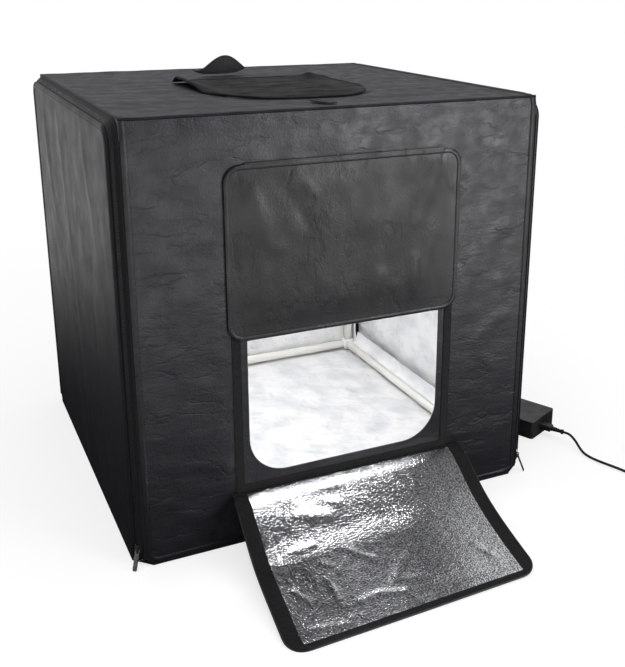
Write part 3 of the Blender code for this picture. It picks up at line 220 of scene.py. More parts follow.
# Mains lead: 1.2 m of round black flex, 4.2 mm thick, from the adapter's connector down to the table.
# The unseen length is wound into a flat two-layer coil under a band, and it ends in its moulded plug.
CORD_DIAMETER = 0.0042
ADAPTER_AT = Vector((0.4265, -0.2050, 0))
ADAPTER_TURN = Matrix.Rotation(math.radians(24.8), 4, "Z")
INLET = Vector((-0.007, 0, 0.016))
SLEEVE_END = 0.0414
COIL_AT = (0.4951, -0.4016)
COIL_START = math.radians(185)
COIL_TURNS = 3.25
COIL_OUTER = 0.0326
COIL_PITCH = 0.0047
COIL_LOW = 0.0032
COIL_RISE = 0.0047
CLIMB_FROM, CLIMB_TO = 3.0, 3.5
COIL_LEAVE = 0.013
LEAD_STRAIGHT, LEAD_STEP = 0.0095, 0.005
ROUTE = (
    (0.4420, -0.2640, 0.0148),
    (0.4412, -0.2760, 0.0112),
    (0.4392, -0.2880, 0.0068),
    (0.4378, -0.3010, 0.0034),
    (0.4388, -0.3160, 0.0026),
    (0.4430, -0.3330, 0.0026),
    (0.4500, -0.3520, 0.0027),
    (0.4570, -0.3720, 0.0029),
    (0.4610, -0.3880, 0.0031),
)
adapter_place = Matrix.Translation(ADAPTER_AT) @ ADAPTER_TURN


def coil_point(turns):
    """The coil's middle line, a number of turns after its start."""
    inner = COIL_OUTER - COIL_PITCH * COIL_TURNS
    radius = inner + COIL_PITCH * abs(COIL_TURNS - turns)
    climb = min(max((turns - CLIMB_FROM) / (CLIMB_TO - CLIMB_FROM), 0), 1)
    angle = COIL_START + 2 * math.pi * turns
    height = COIL_LOW + COIL_RISE * (3 - 2 * climb) * climb * climb
    return Vector((COIL_AT[0] + radius * math.cos(angle), COIL_AT[1] + radius * math.sin(angle), height))


def smooth_through(knots, spacing):
    """Evenly spaced points on a smooth curve through knots."""
    fine = []
    ends = [2 * knots[0] - knots[1], *knots, 2 * knots[-1] - knots[-2]]
    for a, b, c, d in zip(ends, ends[1:], ends[2:], ends[3:]):
        for step in range(12):
            t = step / 12
            fine.append(
                (2 * b + (c - a) * t + (2 * a - 5 * b + 4 * c - d) * t**2
                 + (3 * b - a - 3 * c + d) * t**3) / 2
            )
    fine.append(knots[-1])
    lengths = [0]
    for before, after in zip(fine, fine[1:]):
        lengths.append(lengths[-1] + (after - before).length)
    count = round(lengths[-1] / spacing)
    points, index = [], 0
    for step in range(count + 1):
        want = lengths[-1] * step / count
        while index < len(fine) - 2 and lengths[index + 1] < want:
            index += 1
        along = (want - lengths[index]) / (lengths[index + 1] - lengths[index])
        points.append(fine[index].lerp(fine[index + 1], along))
    return points


COIL_POINTS = 48
coil_steps = round(2 * COIL_TURNS * COIL_POINTS)
coil = [coil_point(2 * COIL_TURNS * step / coil_steps) for step in range(coil_steps + 1)]
coil_in = (coil[0] - coil[1]).normalized()
coil_out = (coil[-1] - coil[-2]).normalized()
coil_in.z = coil_out.z = 0
outward = -(ADAPTER_TURN @ Vector((0, 1, 0)))
lead_start = adapter_place @ INLET + outward * (SLEEVE_END + 0.0003)
lead = smooth_through(
    [
        lead_start,
        lead_start + outward * LEAD_STRAIGHT,
        *map(Vector, ROUTE),
        coil[0] + coil_in * (CORD_DIAMETER + 0.0005),
        coil[0],
    ],
    LEAD_STEP,
)
cord_line = [*lead, *coil[1:], coil[-1] + coil_out * COIL_LEAVE]

cord_curve = bpy.data.curves.new("mains_lead", "CURVE")
cord_curve.dimensions = "3D"
cord_curve.bevel_depth = CORD_DIAMETER / 2
cord_curve.bevel_resolution = 6
cord_curve.use_fill_caps = True
spline = cord_curve.splines.new("POLY")
spline.points.add(len(cord_line) - 1)
for point, co in zip(spline.points, cord_line):
    point.co = (*co, 1)
spline.use_smooth = True


def finish(name, colour, roughness, metallic=0.0):
    """A new material: itself, its node tree and its shader."""
    material = bpy.data.materials.new(name)
    tree, output = shader_nodes(material)
    shader = tree.nodes.new("ShaderNodeBsdfPrincipled")
    shader.inputs["Base Color"].default_value = (*colour, 1)
    shader.inputs["Roughness"].default_value = roughness
    shader.inputs["Metallic"].default_value = metallic
    tree.links.new(shader.outputs["BSDF"], output.inputs["Surface"])
    return material, tree, shader


def grain(tree, size, detail=4.0, stretch=(1, 1, 1), turn=(0, 0, 0), cells=False):
    """A pattern in the piece's own space, from 0 to 1: clouds, or cells, whose features are a size across."""
    space = tree.nodes.new("ShaderNodeTexCoord")
    fit = tree.nodes.new("ShaderNodeMapping")
    fit.inputs["Rotation"].default_value = turn
    fit.inputs["Scale"].default_value = stretch
    tree.links.new(space.outputs["Object"], fit.inputs["Vector"])
    if cells:
        pattern = tree.nodes.new("ShaderNodeTexVoronoi")
        pattern.feature = "SMOOTH_F1"
        out = pattern.outputs["Distance"]
    else:
        pattern = tree.nodes.new("ShaderNodeTexNoise")
        pattern.inputs["Detail"].default_value = detail
        out = pattern.outputs["Fac"]
    pattern.inputs["Scale"].default_value = 1 / size
    tree.links.new(fit.outputs["Vector"], pattern.inputs["Vector"])
    return out


def relief(tree, shader, *layers):
    """Bumps laid one on another: each layer is a height from 0 to 1, and how high 1 stands."""
    below = None
    for height, stands in layers:
        bump = tree.nodes.new("ShaderNodeBump")
        bump.inputs["Strength"].default_value = 1.0
        bump.inputs["Distance"].default_value = stands
        tree.links.new(height, bump.inputs["Height"])
        if below:
            tree.links.new(below, bump.inputs["Normal"])
        below = bump.outputs["Normal"]
    tree.links.new(below, shader.inputs["Normal"])


def shades(tree, shader, height, dark, light, low=0.35, high=0.65):
    """Colours the surface between two colours by a pattern."""
    ramp = tree.nodes.new("ShaderNodeValToRGB")
    ramp.color_ramp.elements[0].position = low
    ramp.color_ramp.elements[0].color = (*dark, 1)
    ramp.color_ramp.elements[1].position = high
    ramp.color_ramp.elements[1].color = (*light, 1)
    tree.links.new(height, ramp.inputs["Fac"])
    tree.links.new(ramp.outputs["Color"], shader.inputs["Base Color"])


def polish(tree, shader, height, smooth, rough, low=0.35, high=0.65):
    """Varies the roughness by a pattern."""
    tree.links.new(spread(tree, height, low, high, smooth, rough, soft=False), shader.inputs["Roughness"])


sheath, tree, shader = finish("cord_sheath", (0.012, 0.012, 0.013), 0.45)
shades(tree, shader, grain(tree, 0.010, 4), (0.009, 0.009, 0.010), (0.017, 0.017, 0.018))
polish(tree, shader, grain(tree, 0.006), 0.38, 0.56)
relief(tree, shader, (grain(tree, 0.0010, 2), 0.00006))
cord_curve.materials.append(sheath)
cord = bpy.data.objects.new("mains_lead", cord_curve)
scene.collection.objects.link(cord)
cord_length = sum((after - before).length for before, after in zip(cord_line, cord_line[1:]))
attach(cord, "tent")
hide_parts("mains_cord", "cord_coil")
print("lead", round(cord_length, 3))

# Frame tubes: twelve white plastic pipes, 16 mm across with a 1.2 mm wall, sawn square and eased at the ends.
# They are pushed onto the corner mouldings, inside the lining.
PIPE_WALL = 0.0012
PIPE_EASE = 0.0004
PIPE_SIDES = 40
PIPE_WHITE = (0.82, 0.81, 0.77)


def lathe(profile, sides, closed=False):
    """A profile of (radius, height) turned about Z."""
    shape = bmesh.new()
    rings = []
    for radius, height in profile:
        ring = []
        for side in range(sides):
            angle = 2 * math.pi * side / sides
            ring.append(shape.verts.new((radius * math.cos(angle), radius * math.sin(angle), height)))
        rings.append(ring)
    if closed:
        rings.append(rings[0])
    for lower, upper in zip(rings, rings[1:]):
        for side in range(sides):
            near, far = side, (side + 1) % sides
            shape.faces.new((lower[near], lower[far], upper[far], upper[near]))
    bmesh.ops.remove_doubles(shape, verts=shape.verts, dist=1e-6)
    return shape


def add(shape, other, place=Matrix.Identity(4)):
    """Puts another shape into this one, and uses it up."""
    mesh = bpy.data.meshes.new("passing")
    other.to_mesh(mesh)
    other.free()
    mesh.transform(place)
    shape.from_mesh(mesh)
    bpy.data.meshes.remove(mesh)


def piece(name, shape, material, body, node_names, crease=35):
    """Makes an object of closed shapes, which rides on a body, if one is named, and stands for CAD nodes."""
    bmesh.ops.recalc_face_normals(shape, faces=shape.faces)
    mesh = bpy.data.meshes.new(name)
    shape.to_mesh(mesh)
    shape.free()
    mesh.materials.append(material)
    mesh.shade_smooth()
    mesh.set_sharp_from_angle(angle=math.radians(crease))
    obj = bpy.data.objects.new(name, mesh)
    scene.collection.objects.link(obj)
    if body:
        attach(obj, body)
    if node_names:
        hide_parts(*node_names)
    return obj


pipe_white, tree, shader = finish("pipe_white", PIPE_WHITE, 0.34)
relief(tree, shader, (grain(tree, 0.02, 3, (1, 1, 1)), 0.0003), (grain(tree, 0.0015, 2), 0.00003))
polish(tree, shader, grain(tree, 0.03), 0.28, 0.42)

tube_names = [name for name in nodes if name.endswith("_tube") or name.endswith("_post")]
for name in tube_names:
    low, high = map(Vector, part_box(name))
    size = high - low
    radius = min(size) / 2
    half = max(size) / 2
    bore = radius - PIPE_WALL
    profile = [(bore, -half), (radius - PIPE_EASE, -half), (radius, -half + PIPE_EASE)]
    profile += [(radius, half - PIPE_EASE), (radius - PIPE_EASE, half), (bore, half)]
    axis = Vector([1 if length == max(size) else 0 for length in size])
    shape = bmesh.new()
    turn = Vector((0, 0, 1)).rotation_difference(axis).to_matrix().to_4x4()
    add(shape, lathe(profile, PIPE_SIDES, closed=True), Matrix.Translation((low + high) / 2) @ turn)
    piece(name.replace("tube", "pipe") + "_white", shape, pipe_white, "tent", [name], 50)

# Corner mouldings: white three-way fittings, moulded in one: a round-edged hub, a collar and lip for each
# pipe's end, and cross-ribbed spigots that the pipes are pushed onto.
HUB_HALF = 0.0108
HUB_ROUND = 0.0045
HUB_STAND = 0.0116
LIP_RADIUS = 0.0083
NECK_RADIUS = 0.0074
LIP_LENGTH = 0.0018
SPIGOT_END = 0.0376
SPIGOT_REACH = 0.0062
SPIGOT_WEB = 0.0015
SPIGOT_SUNK = 0.001
LIP_EASE, NECK_EASE = 0.0003, 0.0006
BOSS_RADIUS, BOSS_HIGH = 0.0042, 0.0008
MOULDING_WHITE = (0.84, 0.84, 0.83)


def block(size, round_off, steps, place=Matrix.Identity(4)):
    """A box about its own middle with its edges rounded."""
    shape = bmesh.new()
    bmesh.ops.create_cube(shape, size=1, matrix=Matrix.Diagonal((*size, 1)))
    bmesh.ops.bevel(
        shape, geom=shape.edges[:], offset=round_off, segments=steps, profile=0.5, affect="EDGES",
        clamp_overlap=True
    )
    bmesh.ops.transform(shape, matrix=place, verts=shape.verts)
    return shape


def middle_of(node):
    """The middle of a CAD node's box."""
    low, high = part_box(node)
    return (Vector(low) + Vector(high)) / 2


moulding_white, tree, shader = finish("moulding_white", MOULDING_WHITE, 0.38)
relief(tree, shader, (grain(tree, 0.0008, 3), 0.00003), (grain(tree, 0.012, 2), 0.0002))
polish(tree, shader, grain(tree, 0.01), 0.32, 0.46)

post_middle = middle_of("back_right_post")
frame_x, frame_y = post_middle.x, post_middle.y
frame_low, frame_high = middle_of("left_bottom_tube").z, middle_of("left_top_tube").z
for name in [node for node in nodes if node.endswith("_corner")]:
    across = -1 if "left" in name else 1
    along = -1 if "front" in name else 1
    upward = 1 if "bottom" in name else -1
    hub_place = Matrix.Translation((across * frame_x, along * frame_y,
                                    frame_low if upward > 0 else frame_high))
    shape = bmesh.new()
    add(shape, block((2 * HUB_HALF,) * 3, HUB_ROUND, 4), hub_place)
    arms = (Vector((-across, 0, 0)), Vector((0, -along, 0)), Vector((0, 0, upward)))
    for arm in arms:
        turn = hub_place @ Vector((0, 0, 1)).rotation_difference(arm).to_matrix().to_4x4()
        lip = HUB_STAND - LIP_LENGTH
        collar = [(0, 0), (NECK_RADIUS, 0), (NECK_RADIUS, lip - NECK_EASE), (LIP_RADIUS - LIP_EASE, lip)]
        collar += [(LIP_RADIUS, lip + LIP_EASE), (LIP_RADIUS, HUB_STAND - LIP_EASE)]
        collar += [(LIP_RADIUS - LIP_EASE, HUB_STAND), (0, HUB_STAND)]
        add(shape, lathe(collar, 36), turn)
        spigot = Matrix.Translation((0, 0, (HUB_STAND + SPIGOT_END) / 2 - SPIGOT_SUNK))
        length = SPIGOT_END - HUB_STAND + 2 * SPIGOT_SUNK
        for web in ((2 * SPIGOT_REACH, SPIGOT_WEB, length), (SPIGOT_WEB, 2 * SPIGOT_REACH, length)):
            add(shape, block(web, 0.0003, 1), turn @ spigot)
        boss = [(0, -SPIGOT_SUNK), (BOSS_RADIUS, -SPIGOT_SUNK), (BOSS_RADIUS, BOSS_HIGH), (0, BOSS_HIGH)]
        add(shape, lathe(boss, 20), turn @ Matrix.Translation((0, 0, SPIGOT_END)))
    piece(name.replace("_corner", "_moulding"), shape, moulding_white, "tent", [name], 30)

# Silver lining: one sleeve of silver-coated cloth along the floor, back, top and front of the inside.
# It is open at both sides, and cut out a little wider than the window and the opening in the top.
LINING = 0.0008
LINING_CELL = 0.010
WINDOW_HALF = 0.147
WINDOW_LOW, WINDOW_HIGH = 0.100, 0.495
WINDOW_CORNER = 0.055
TOP_HALF = 0.100
TOP_FRONT, TOP_BACK = -0.165, 0.055
TOP_CORNER = 0.030
LINING_WIDER = 0.003
LINING_SAG = 0.0016
TURN_WIDE, TURN_DEEP = 0.019, 0.0034
# The darker silver is painted shade of the lining's crumples.
SILVER_CRUMPLE_SHADE = (0.72, 0.73, 0.75)
SILVER_LIGHT = (0.88, 0.88, 0.88)
FACING_FRONT = Matrix.Rotation(math.radians(90), 4, "X")
FACING_BACK = Matrix.Rotation(math.radians(180), 4, "Z") @ FACING_FRONT


def outline(*corners, steps=7):
    """A closed outline of (x, y, radius) corners, counted the way the sun goes backwards."""
    points = []
    for index, (x, y, radius) in enumerate(corners):
        here = Vector((x, y))
        if not radius:
            points.append(here)
            continue
        before = (Vector(corners[index - 1][:2]) - here).normalized()
        after = (Vector(corners[(index + 1) % len(corners)][:2]) - here).normalized()
        half = before.angle(after) / 2
        reach = radius / math.tan(half)
        middle = here + (before + after).normalized() * radius / math.sin(half)
        start, end = here + before * reach - middle, here + after * reach - middle
        swing = start.angle_signed(end)
        for step in range(steps + 1):
            points.append(middle + Matrix.Rotation(-swing * step / steps, 2) @ start)
    return points


def rectangle(left, right, low, high, radius=0.0, steps=7):
    """The outline of a rectangle, with round corners if it has a radius."""
    return outline((left, low, radius), (right, low, radius), (right, high, radius), (left, high, radius),
                   steps=steps)


def cut_cloth(edge, holes, cell):
    """Cloth laid flat: cut to an edge and holes, and divided into cells so that it can be moulded."""
    shape = bmesh.new()
    for loop in (edge, *holes):
        corners = [shape.verts.new((*point, 0)) for point in loop]
        for here, after in zip(corners, corners[1:] + corners[:1]):
            shape.edges.new((here, after))
    bmesh.ops.triangle_fill(shape, use_beauty=True, edges=shape.edges[:])
    for axis in range(2):
        low = min(vertex.co[axis] for vertex in shape.verts)
        high = max(vertex.co[axis] for vertex in shape.verts)
        count = max(math.ceil((high - low) / cell), 1)
        way = Vector([1 if k == axis else 0 for k in range(3)])
        for step in range(1, count):
            geometry = shape.verts[:] + shape.edges[:] + shape.faces[:]
            cut = way * (low + (high - low) * step / count)
            bmesh.ops.bisect_plane(shape, geom=geometry, plane_co=cut, plane_no=way, dist=1e-5)
    bmesh.ops.remove_doubles(shape, verts=shape.verts, dist=2e-5)
    for face in shape.faces:
        face.normal_update()
        if face.normal.z < 0:
            face.normal_flip()
    return shape


def area_of(cloth):
    """The area of cloth laid flat."""
    return sum(face.calc_area() for face in cloth.faces)


def mould(shape, place, lift):
    """Puts flat cloth in its place, each point lifted off the cloth's plane by lift(x, y)."""
    for vertex in shape.verts:
        x, y, _ = vertex.co
        vertex.co = place @ Vector((x, y, lift(x, y)))
    shape.normal_update()
    return shape


def thicken(shape, thickness):
    """Gives an open sheet its thickness, inward from its outer side, with a rim all round."""
    shape.normal_update()
    outer = shape.verts[:]
    normals = [vertex.normal.copy() for vertex in outer]
    faces = shape.faces[:]
    rim = [edge for edge in shape.edges if edge.is_boundary]
    inner = {vertex: shape.verts.new(vertex.co - normal * thickness)
             for vertex, normal in zip(outer, normals)}
    for face in faces:
        shape.faces.new([inner[vertex] for vertex in reversed(face.verts)])
    for edge in rim:
        first, second = edge.verts
        loop = edge.link_loops[0]
        if loop.vert != first:
            first, second = second, first
        shape.faces.new((second, first, inner[first], inner[second]))
    return shape


def rise(value, start, full):
    """0 before start, 1 from full on, and smooth between."""
    t = min(max((value - start) / (full - start), 0), 1)
    return t * t * (3 - 2 * t)


def clouds(x, y, size, seed=0.0):
    """Smooth bumps from -1 to 1, a size across."""
    return noise.noise(Vector((x / size, y / size, seed)))


def creases(x, y, size, seed=0.0):
    """Rounded folds from 0 to 1 that wander over the cloth, a size apart."""
    return (1 - min(abs(clouds(x, y, size, seed)) * 3.2, 1)) ** 2


def ridged(tree, height, wide=0.16):
    """Turns clouds into thin raised creases, from 0 to 1."""
    fold = sum_of(tree, "ABSOLUTE", sum_of(tree, "SUBTRACT", height, 0.5), 0.0)
    return spread(tree, fold, 0.0, wide, 1.0, 0.0)


silver, tree, shader = finish("silver_lining", SILVER_LIGHT, 0.42, 0.25)
# The colour is mottled darker in broad patches: painted shade of the cloth's crumples.
crumple = grain(tree, 0.050, 5, (1.0, 0.8, 1.3))
shades(tree, shader, crumple, SILVER_CRUMPLE_SHADE, SILVER_LIGHT, 0.36, 0.56)
polish(tree, shader, grain(tree, 0.03), 0.34, 0.55)
relief(
    tree,
    shader,
    (ridged(tree, grain(tree, 0.075, 3, (1, 1.6, 1))), 0.0010),
    (ridged(tree, grain(tree, 0.024, 3)), 0.00035),
    (grain(tree, 0.0022, 2), 0.00010),
)

lining_low, lining_high = map(Vector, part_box("inner_lining"))
reach_x, reach_y = lining_high.x, lining_high.y
lining_tall = lining_high.z - lining_low.z
roof_reach = reach_y - TURN_DEEP


def drawn_back(x, below):
    """How far the front is drawn in towards the upper tube, a distance below the top."""
    turned = TURN_WIDE * (1 + 0.35 * clouds(x, 0, 0.035, 9.0) + 0.25 * clouds(x, 0, 0.012, 9.5) - x)
    return TURN_DEEP * (1 - rise(below, 0, turned))


def lining_lift(wide, tall, seed, upright):
    """The lining hangs a little slack between its sewn edges, and follows the shell over the upper tubes."""

    def lift(x, y):
        edge = rise(wide - abs(x), 0, 0.05) * rise(min(y, tall - y), 0, 0.05)
        slack = LINING_SAG * edge * (1.0 + clouds(x, y, 0.11, seed) + 0.8 * creases(x, y, 0.16, seed))
        return -slack - (drawn_back(x, tall - y) if upright else 0)

    return lift


sleeve = bmesh.new()
walls = (
    (FACING_FRONT, (0, -reach_y, lining_low.z), lining_tall, 1.1,
     [rectangle(-WINDOW_HALF - LINING_WIDER, WINDOW_HALF + LINING_WIDER,
                WINDOW_LOW - LINING_WIDER - lining_low.z, WINDOW_HIGH + LINING_WIDER - lining_low.z,
                WINDOW_CORNER)]),
    (FACING_BACK, (0, reach_y, lining_low.z), lining_tall, 4.3, []),
    (Matrix.Identity(4), (0, -roof_reach, lining_high.z), 2 * roof_reach, 7.7,
     [rectangle(-TOP_HALF - LINING_WIDER, TOP_HALF + LINING_WIDER, TOP_FRONT - LINING_WIDER + roof_reach,
                TOP_BACK + LINING_WIDER + roof_reach, TOP_CORNER)]),
    (Matrix.Rotation(math.radians(180), 4, "Y"), (0, -reach_y, lining_low.z), 2 * reach_y, 2.9, []),
)
lining_area = 0
for facing, corner, tall, seed, holes in walls:
    wall = cut_cloth(rectangle(-reach_x, reach_x, 0, tall), holes, LINING_CELL)
    lining_area += area_of(wall)
    wall_place = Matrix.Translation(corner) @ facing
    add(sleeve, mould(wall, wall_place, lining_lift(reach_x, tall, seed, tall == lining_tall)))
bmesh.ops.remove_doubles(sleeve, verts=sleeve.verts, dist=0.0003)
lining = piece("lining_sleeve", thicken(sleeve, LINING), silver, "tent", ["inner_lining"],
               60)

# Shell: black leather-grained cloth, 1.5 mm thick, cut as a floor, a front, a back and a top and sewn edge
# to edge, with the bottom corners cut off. The front has the window and the top has the camera opening.
SKIN = 0.0015
CLOTH_CELL = 0.007
CORNER_CUT = 0.010
SHELL_DARK = (0.0060, 0.0060, 0.0090)
SHELL_LIGHT = (0.0190, 0.0180, 0.0260)


def leather(name, dark, light, rough, shine=1.0, pebble=0.00030, crease=(0.8, 0.8, 1.9), crumple=0.0012,
            mottle=1.0, patch=0.022):
    """Coated cloth: a pressed pebble grain, soft wandering creases that come and go with painted shade along
    them, and a mottled sheen.
    """
    material, tree, shader = finish(name, light, rough)
    shader.inputs["Specular IOR Level"].default_value = shine
    lines = ridged(tree, grain(tree, 0.042, 5, crease), 0.055)
    some = spread(tree, grain(tree, 0.050, 3, crease, (0.3, 0.2, 0.5)), 0.40, 0.62, 0.0, 1.0)
    lines = sum_of(tree, "MULTIPLY", lines, some)
    # The colour varies at random in broad patches and is darker along the creases: painted shade in them.
    cloth = sum_of(tree, "SUBTRACT", grain(tree, patch, 8), sum_of(tree, "MULTIPLY", lines, 0.18 * mottle))
    reach = min(0.15 / mottle, 0.47)
    shades(tree, shader, cloth, dark, light, 0.47 - reach, 0.47 + reach)
    polish(tree, shader, cloth, rough + 0.14 * mottle, rough - 0.03 * mottle)
    relief(
        tree,
        shader,
        (grain(tree, 0.040, 6, crease), crumple),
        (lines, -0.00025 * mottle),
        (grain(tree, 0.0023, 2), pebble),
    )
    return material


shell_cloth = leather("shell_leathercloth", SHELL_DARK, SHELL_LIGHT, 0.32)
top_cloth = leather("top_leathercloth", SHELL_DARK, SHELL_LIGHT, 0.52, 0.25, 0.00020, (0.40, 1.5, 1.0),
                    0.0010, 0.5)

front_low, front_high = map(Vector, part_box("front_panel"))
front_y, shell_x, shell_high = front_low.y, front_high.x, front_high.z
shell_low = front_low.z


def front_lift(x, z):
    """How far the front stands out: flat along the lower flap's seam, and drawn back over the upper tube."""
    edge = rise(shell_x - abs(x), 0, 0.05) * rise(shell_high - z, 0, 0.05) * rise(z, shell_low, 0.05)
    window = 1 - rise(0.185 - abs(x), 0, 0.02) * (1 - rise(z, 0.50, 0.56))
    soft = 0.6 * clouds(x, z, 0.115, 3.3) + 0.5 * clouds(x, z * 1.6, 0.05, 8.1)
    soft += 0.7 * creases(x, z * 1.8, 0.12, 5.0)
    lie = edge * (0.0015 * window * soft - 0.0004 * (1 - window) * (1 + clouds(x, z, 0.09, 2.0)))
    return lie - drawn_back(x, shell_high - z)


top_reach = abs(front_y) - TURN_DEEP + 0.0006


def back_lift(x, z):
    """How far the back stands out: taut at its seams, with soft folds across its middle."""
    edge = rise(shell_x - abs(x), 0, 0.06) * rise(shell_high - z, 0, 0.06) * rise(z, shell_low, 0.06)
    soft = 0.7 * clouds(x, z, 0.13, 13.3) + 0.4 * clouds(x, z, 0.05, 18.1)
    soft += 0.8 * creases(x * 1.6, z, 0.14, 15.0)
    return 0.0018 * edge * soft - drawn_back(x, shell_high - z)


def top_lift(x, y):
    """The top dips a little between the tubes, and is ruffled across."""
    edge = rise(shell_x - abs(x), 0, 0.05) * rise(abs(front_y) - abs(y), 0, 0.05)
    soft = -0.9 + 0.6 * clouds(x * 0.5, y * 2, 0.06, 23.0) + 0.5 * clouds(x, y, 0.09, 28.1)
    return 0.0014 * edge * soft - 0.0016 * (1 - rise(top_reach - abs(y), 0, 0.007))


def upright(reach, low, high, radius=0.0):
    """A panel's outline with both of its bottom corners cut off."""
    return outline(
        (-reach + CORNER_CUT, low, 0),
        (reach - CORNER_CUT, low, 0),
        (reach, low + CORNER_CUT, 0),
        (reach, high, radius),
        (-reach, high, radius),
        (-reach, low + CORNER_CUT, 0),
    )


window = rectangle(-WINDOW_HALF, WINDOW_HALF, WINDOW_LOW, WINDOW_HIGH, WINDOW_CORNER, steps=12)
roof_opening = rectangle(-TOP_HALF, TOP_HALF, TOP_FRONT, TOP_BACK, TOP_CORNER, steps=9)
panel_edge = upright(shell_x, shell_low, shell_high)
shell_pieces = (
    ("front_panel", panel_edge, [window], Matrix.Translation((0, front_y, 0)) @ FACING_FRONT, front_lift,
     shell_cloth),
    ("back_panel", panel_edge, [], Matrix.Translation((0, -front_y, 0)) @ FACING_BACK, back_lift,
     shell_cloth),
    ("top_panel", rectangle(-shell_x, shell_x, -top_reach, top_reach), [roof_opening],
     Matrix.Translation((0, 0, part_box("top_panel")[1][2])), top_lift, top_cloth),
)
for name, edge, holes, place, lift, cloth in shell_pieces:
    shape = cut_cloth(edge, holes, CLOTH_CELL)
    area = area_of(shape)
    wide = max(p[0] for p in edge) - min(p[0] for p in edge)
    tall = max(p[1] for p in edge) - min(p[1] for p in edge)
    cover = piece(
        name.replace("panel", "leathercloth"), thicken(mould(shape, place, lift), SKIN), cloth, "tent",
        [name], 50,
    )

floor_high = Vector(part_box("floor_panel")[1])
cut_x = shell_x - CORNER_CUT
side_y = -front_y - (floor_high.x - cut_x - CORNER_CUT)
floor_edge = [
    (-cut_x, front_y), (cut_x, front_y),
    (floor_high.x, -side_y + CORNER_CUT), (floor_high.x, side_y - CORNER_CUT),
    (cut_x, -front_y), (-cut_x, -front_y),
    (-floor_high.x, side_y - CORNER_CUT), (-floor_high.x, -side_y + CORNER_CUT),
]
shape = cut_cloth(floor_edge, [], LINING_CELL)
area = area_of(shape)
mould(shape, Matrix.Translation((0, 0, floor_high.z)), lambda x, y: 0)
base = piece("floor_leathercloth", thicken(shape, SKIN), shell_cloth, "tent", ["floor_panel"],
             50)

# Edge returns: the seam allowance that stands round each side opening behind the zip, of the same cloth.
# It is caught in the seam between the zip and the shell, and faced with silver cloth on its inner side.
RETURN_WIDTH = 0.025
RETURN_CORNER = 0.020
RETURN_SILVER = 0.0005
FACING_RIGHT = Matrix(((0, 0, 1, 0), (1, 0, 0, 0), (0, 1, 0, 0), (0, 0, 0, 1)))
FACING_LEFT = Matrix.Rotation(math.radians(180), 4, "Z") @ FACING_RIGHT
for word, facing in (("left", FACING_LEFT), ("right", FACING_RIGHT)):
    low, high = map(Vector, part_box(word + "_edge_return"))
    hole = rectangle(low.y + RETURN_WIDTH, high.y - RETURN_WIDTH, low.z + RETURN_WIDTH, high.z - RETURN_WIDTH,
                     RETURN_CORNER)
    shape = cut_cloth(upright(high.y, low.z, high.z), [hole], LINING_CELL)
    area = area_of(shape)
    outer = low.x if word == "left" else high.x
    mould(shape, Matrix.Translation((outer, 0, 0)) @ facing,
          lambda x, y: 0.0002 * clouds(x, y, 0.03, 31) - 0.0002)
    cover = piece(word + "_seam_allowance", thicken(shape, high.x - low.x), shell_cloth, "tent",
                  [word + "_edge_return"], 50)
    shape = cut_cloth(upright(high.y - 0.0015, low.z + 0.0015, high.z - 0.0015), [hole], LINING_CELL)
    area = area_of(shape)
    inner = high.x if word == "left" else low.x
    mould(shape, Matrix.Translation((inner, 0, 0)) @ facing, lambda x, y: -0.0001)
    inside = piece(word + "_allowance_silver", thicken(shape, RETURN_SILVER), silver, "tent", [],
                   50)

# Rail covers: a band of the silver cloth that hangs from each seam allowance and lies loose over the lower
# side tube, so only the tube's inner half is seen.
RAIL_COVER = ((0.0112, 0.0320), (0.0096, 0.0190), (0.0066, 0.0118), (0.0030, 0.0098), (-0.0010, 0.0092))
RAIL_REACH = 0.262
RAIL_STEPS = 75
COVER_LOOSE = 0.0011


def join_rows(shape, rows, turned=False):
    """Joins rows of points into a sheet, each row to the next."""
    for before, after in zip(rows, rows[1:]):
        for k in range(len(before) - 1):
            corners = (before[k], before[k + 1], after[k + 1], after[k])
            shape.faces.new(tuple(reversed(corners)) if turned else corners)


for word, side in (("left", -1), ("right", 1)):
    rail = middle_of(word + "_bottom_tube")
    shape = bmesh.new()
    rows = []
    for step in range(RAIL_STEPS + 1):
        y = -RAIL_REACH + 2 * RAIL_REACH * step / RAIL_STEPS
        row = []
        for index, (across, up) in enumerate(RAIL_COVER):
            loose = COVER_LOOSE * (0.9 + clouds(y, index * 0.012, 0.022, 47 + side)) * (index > 0)
            row.append(shape.verts.new((side * (abs(rail.x) + across - 0.3 * loose), y, rail.z + up + loose)))
        rows.append(row)
    join_rows(shape, rows, turned=side > 0)
    area = area_of(shape)
    cover = piece(word + "_rail_cover", thicken(shape, RETURN_SILVER), silver, "tent", [],
                  60)

# Hems and seams of the shell: a folded strip, 8.5 mm wide, stitched down along every outer edge of the
# front, the back and the top, and round the opening in the top.
HEM_WIDTH = 0.0085
HEM_HIGH = 0.0009
HEM_IN = 0.0050
HEM_ROWS = 0.28
HEM_STOP, HEM_OVER_CUT = 0.001, 0.003
THREAD_SUNK = 0.0001
CLOTH_SUNK = 0.0006
STITCH_PITCH = 0.0036
STITCH = (0.0027, 0.0007, 0.0004)
THREAD_GREY = (0.014, 0.014, 0.016)
HEM_DARK, HEM_LIGHT = (0.005, 0.005, 0.007), (0.016, 0.0155, 0.021)
WEBBING_BLACK = (0.0075, 0.0075, 0.0080)


def even(points, spacing, closed=False):
    """The same outline with points added along its long stretches."""
    dense = []
    ends = points[1:] + (points[:1] if closed else [])
    for here, after in zip(points, ends):
        here, after = Vector(here), Vector(after)
        count = max(math.ceil((after - here).length / spacing), 1)
        dense += [here.lerp(after, step / count) for step in range(count)]
    if not closed:
        dense.append(Vector(points[-1]))
    return dense


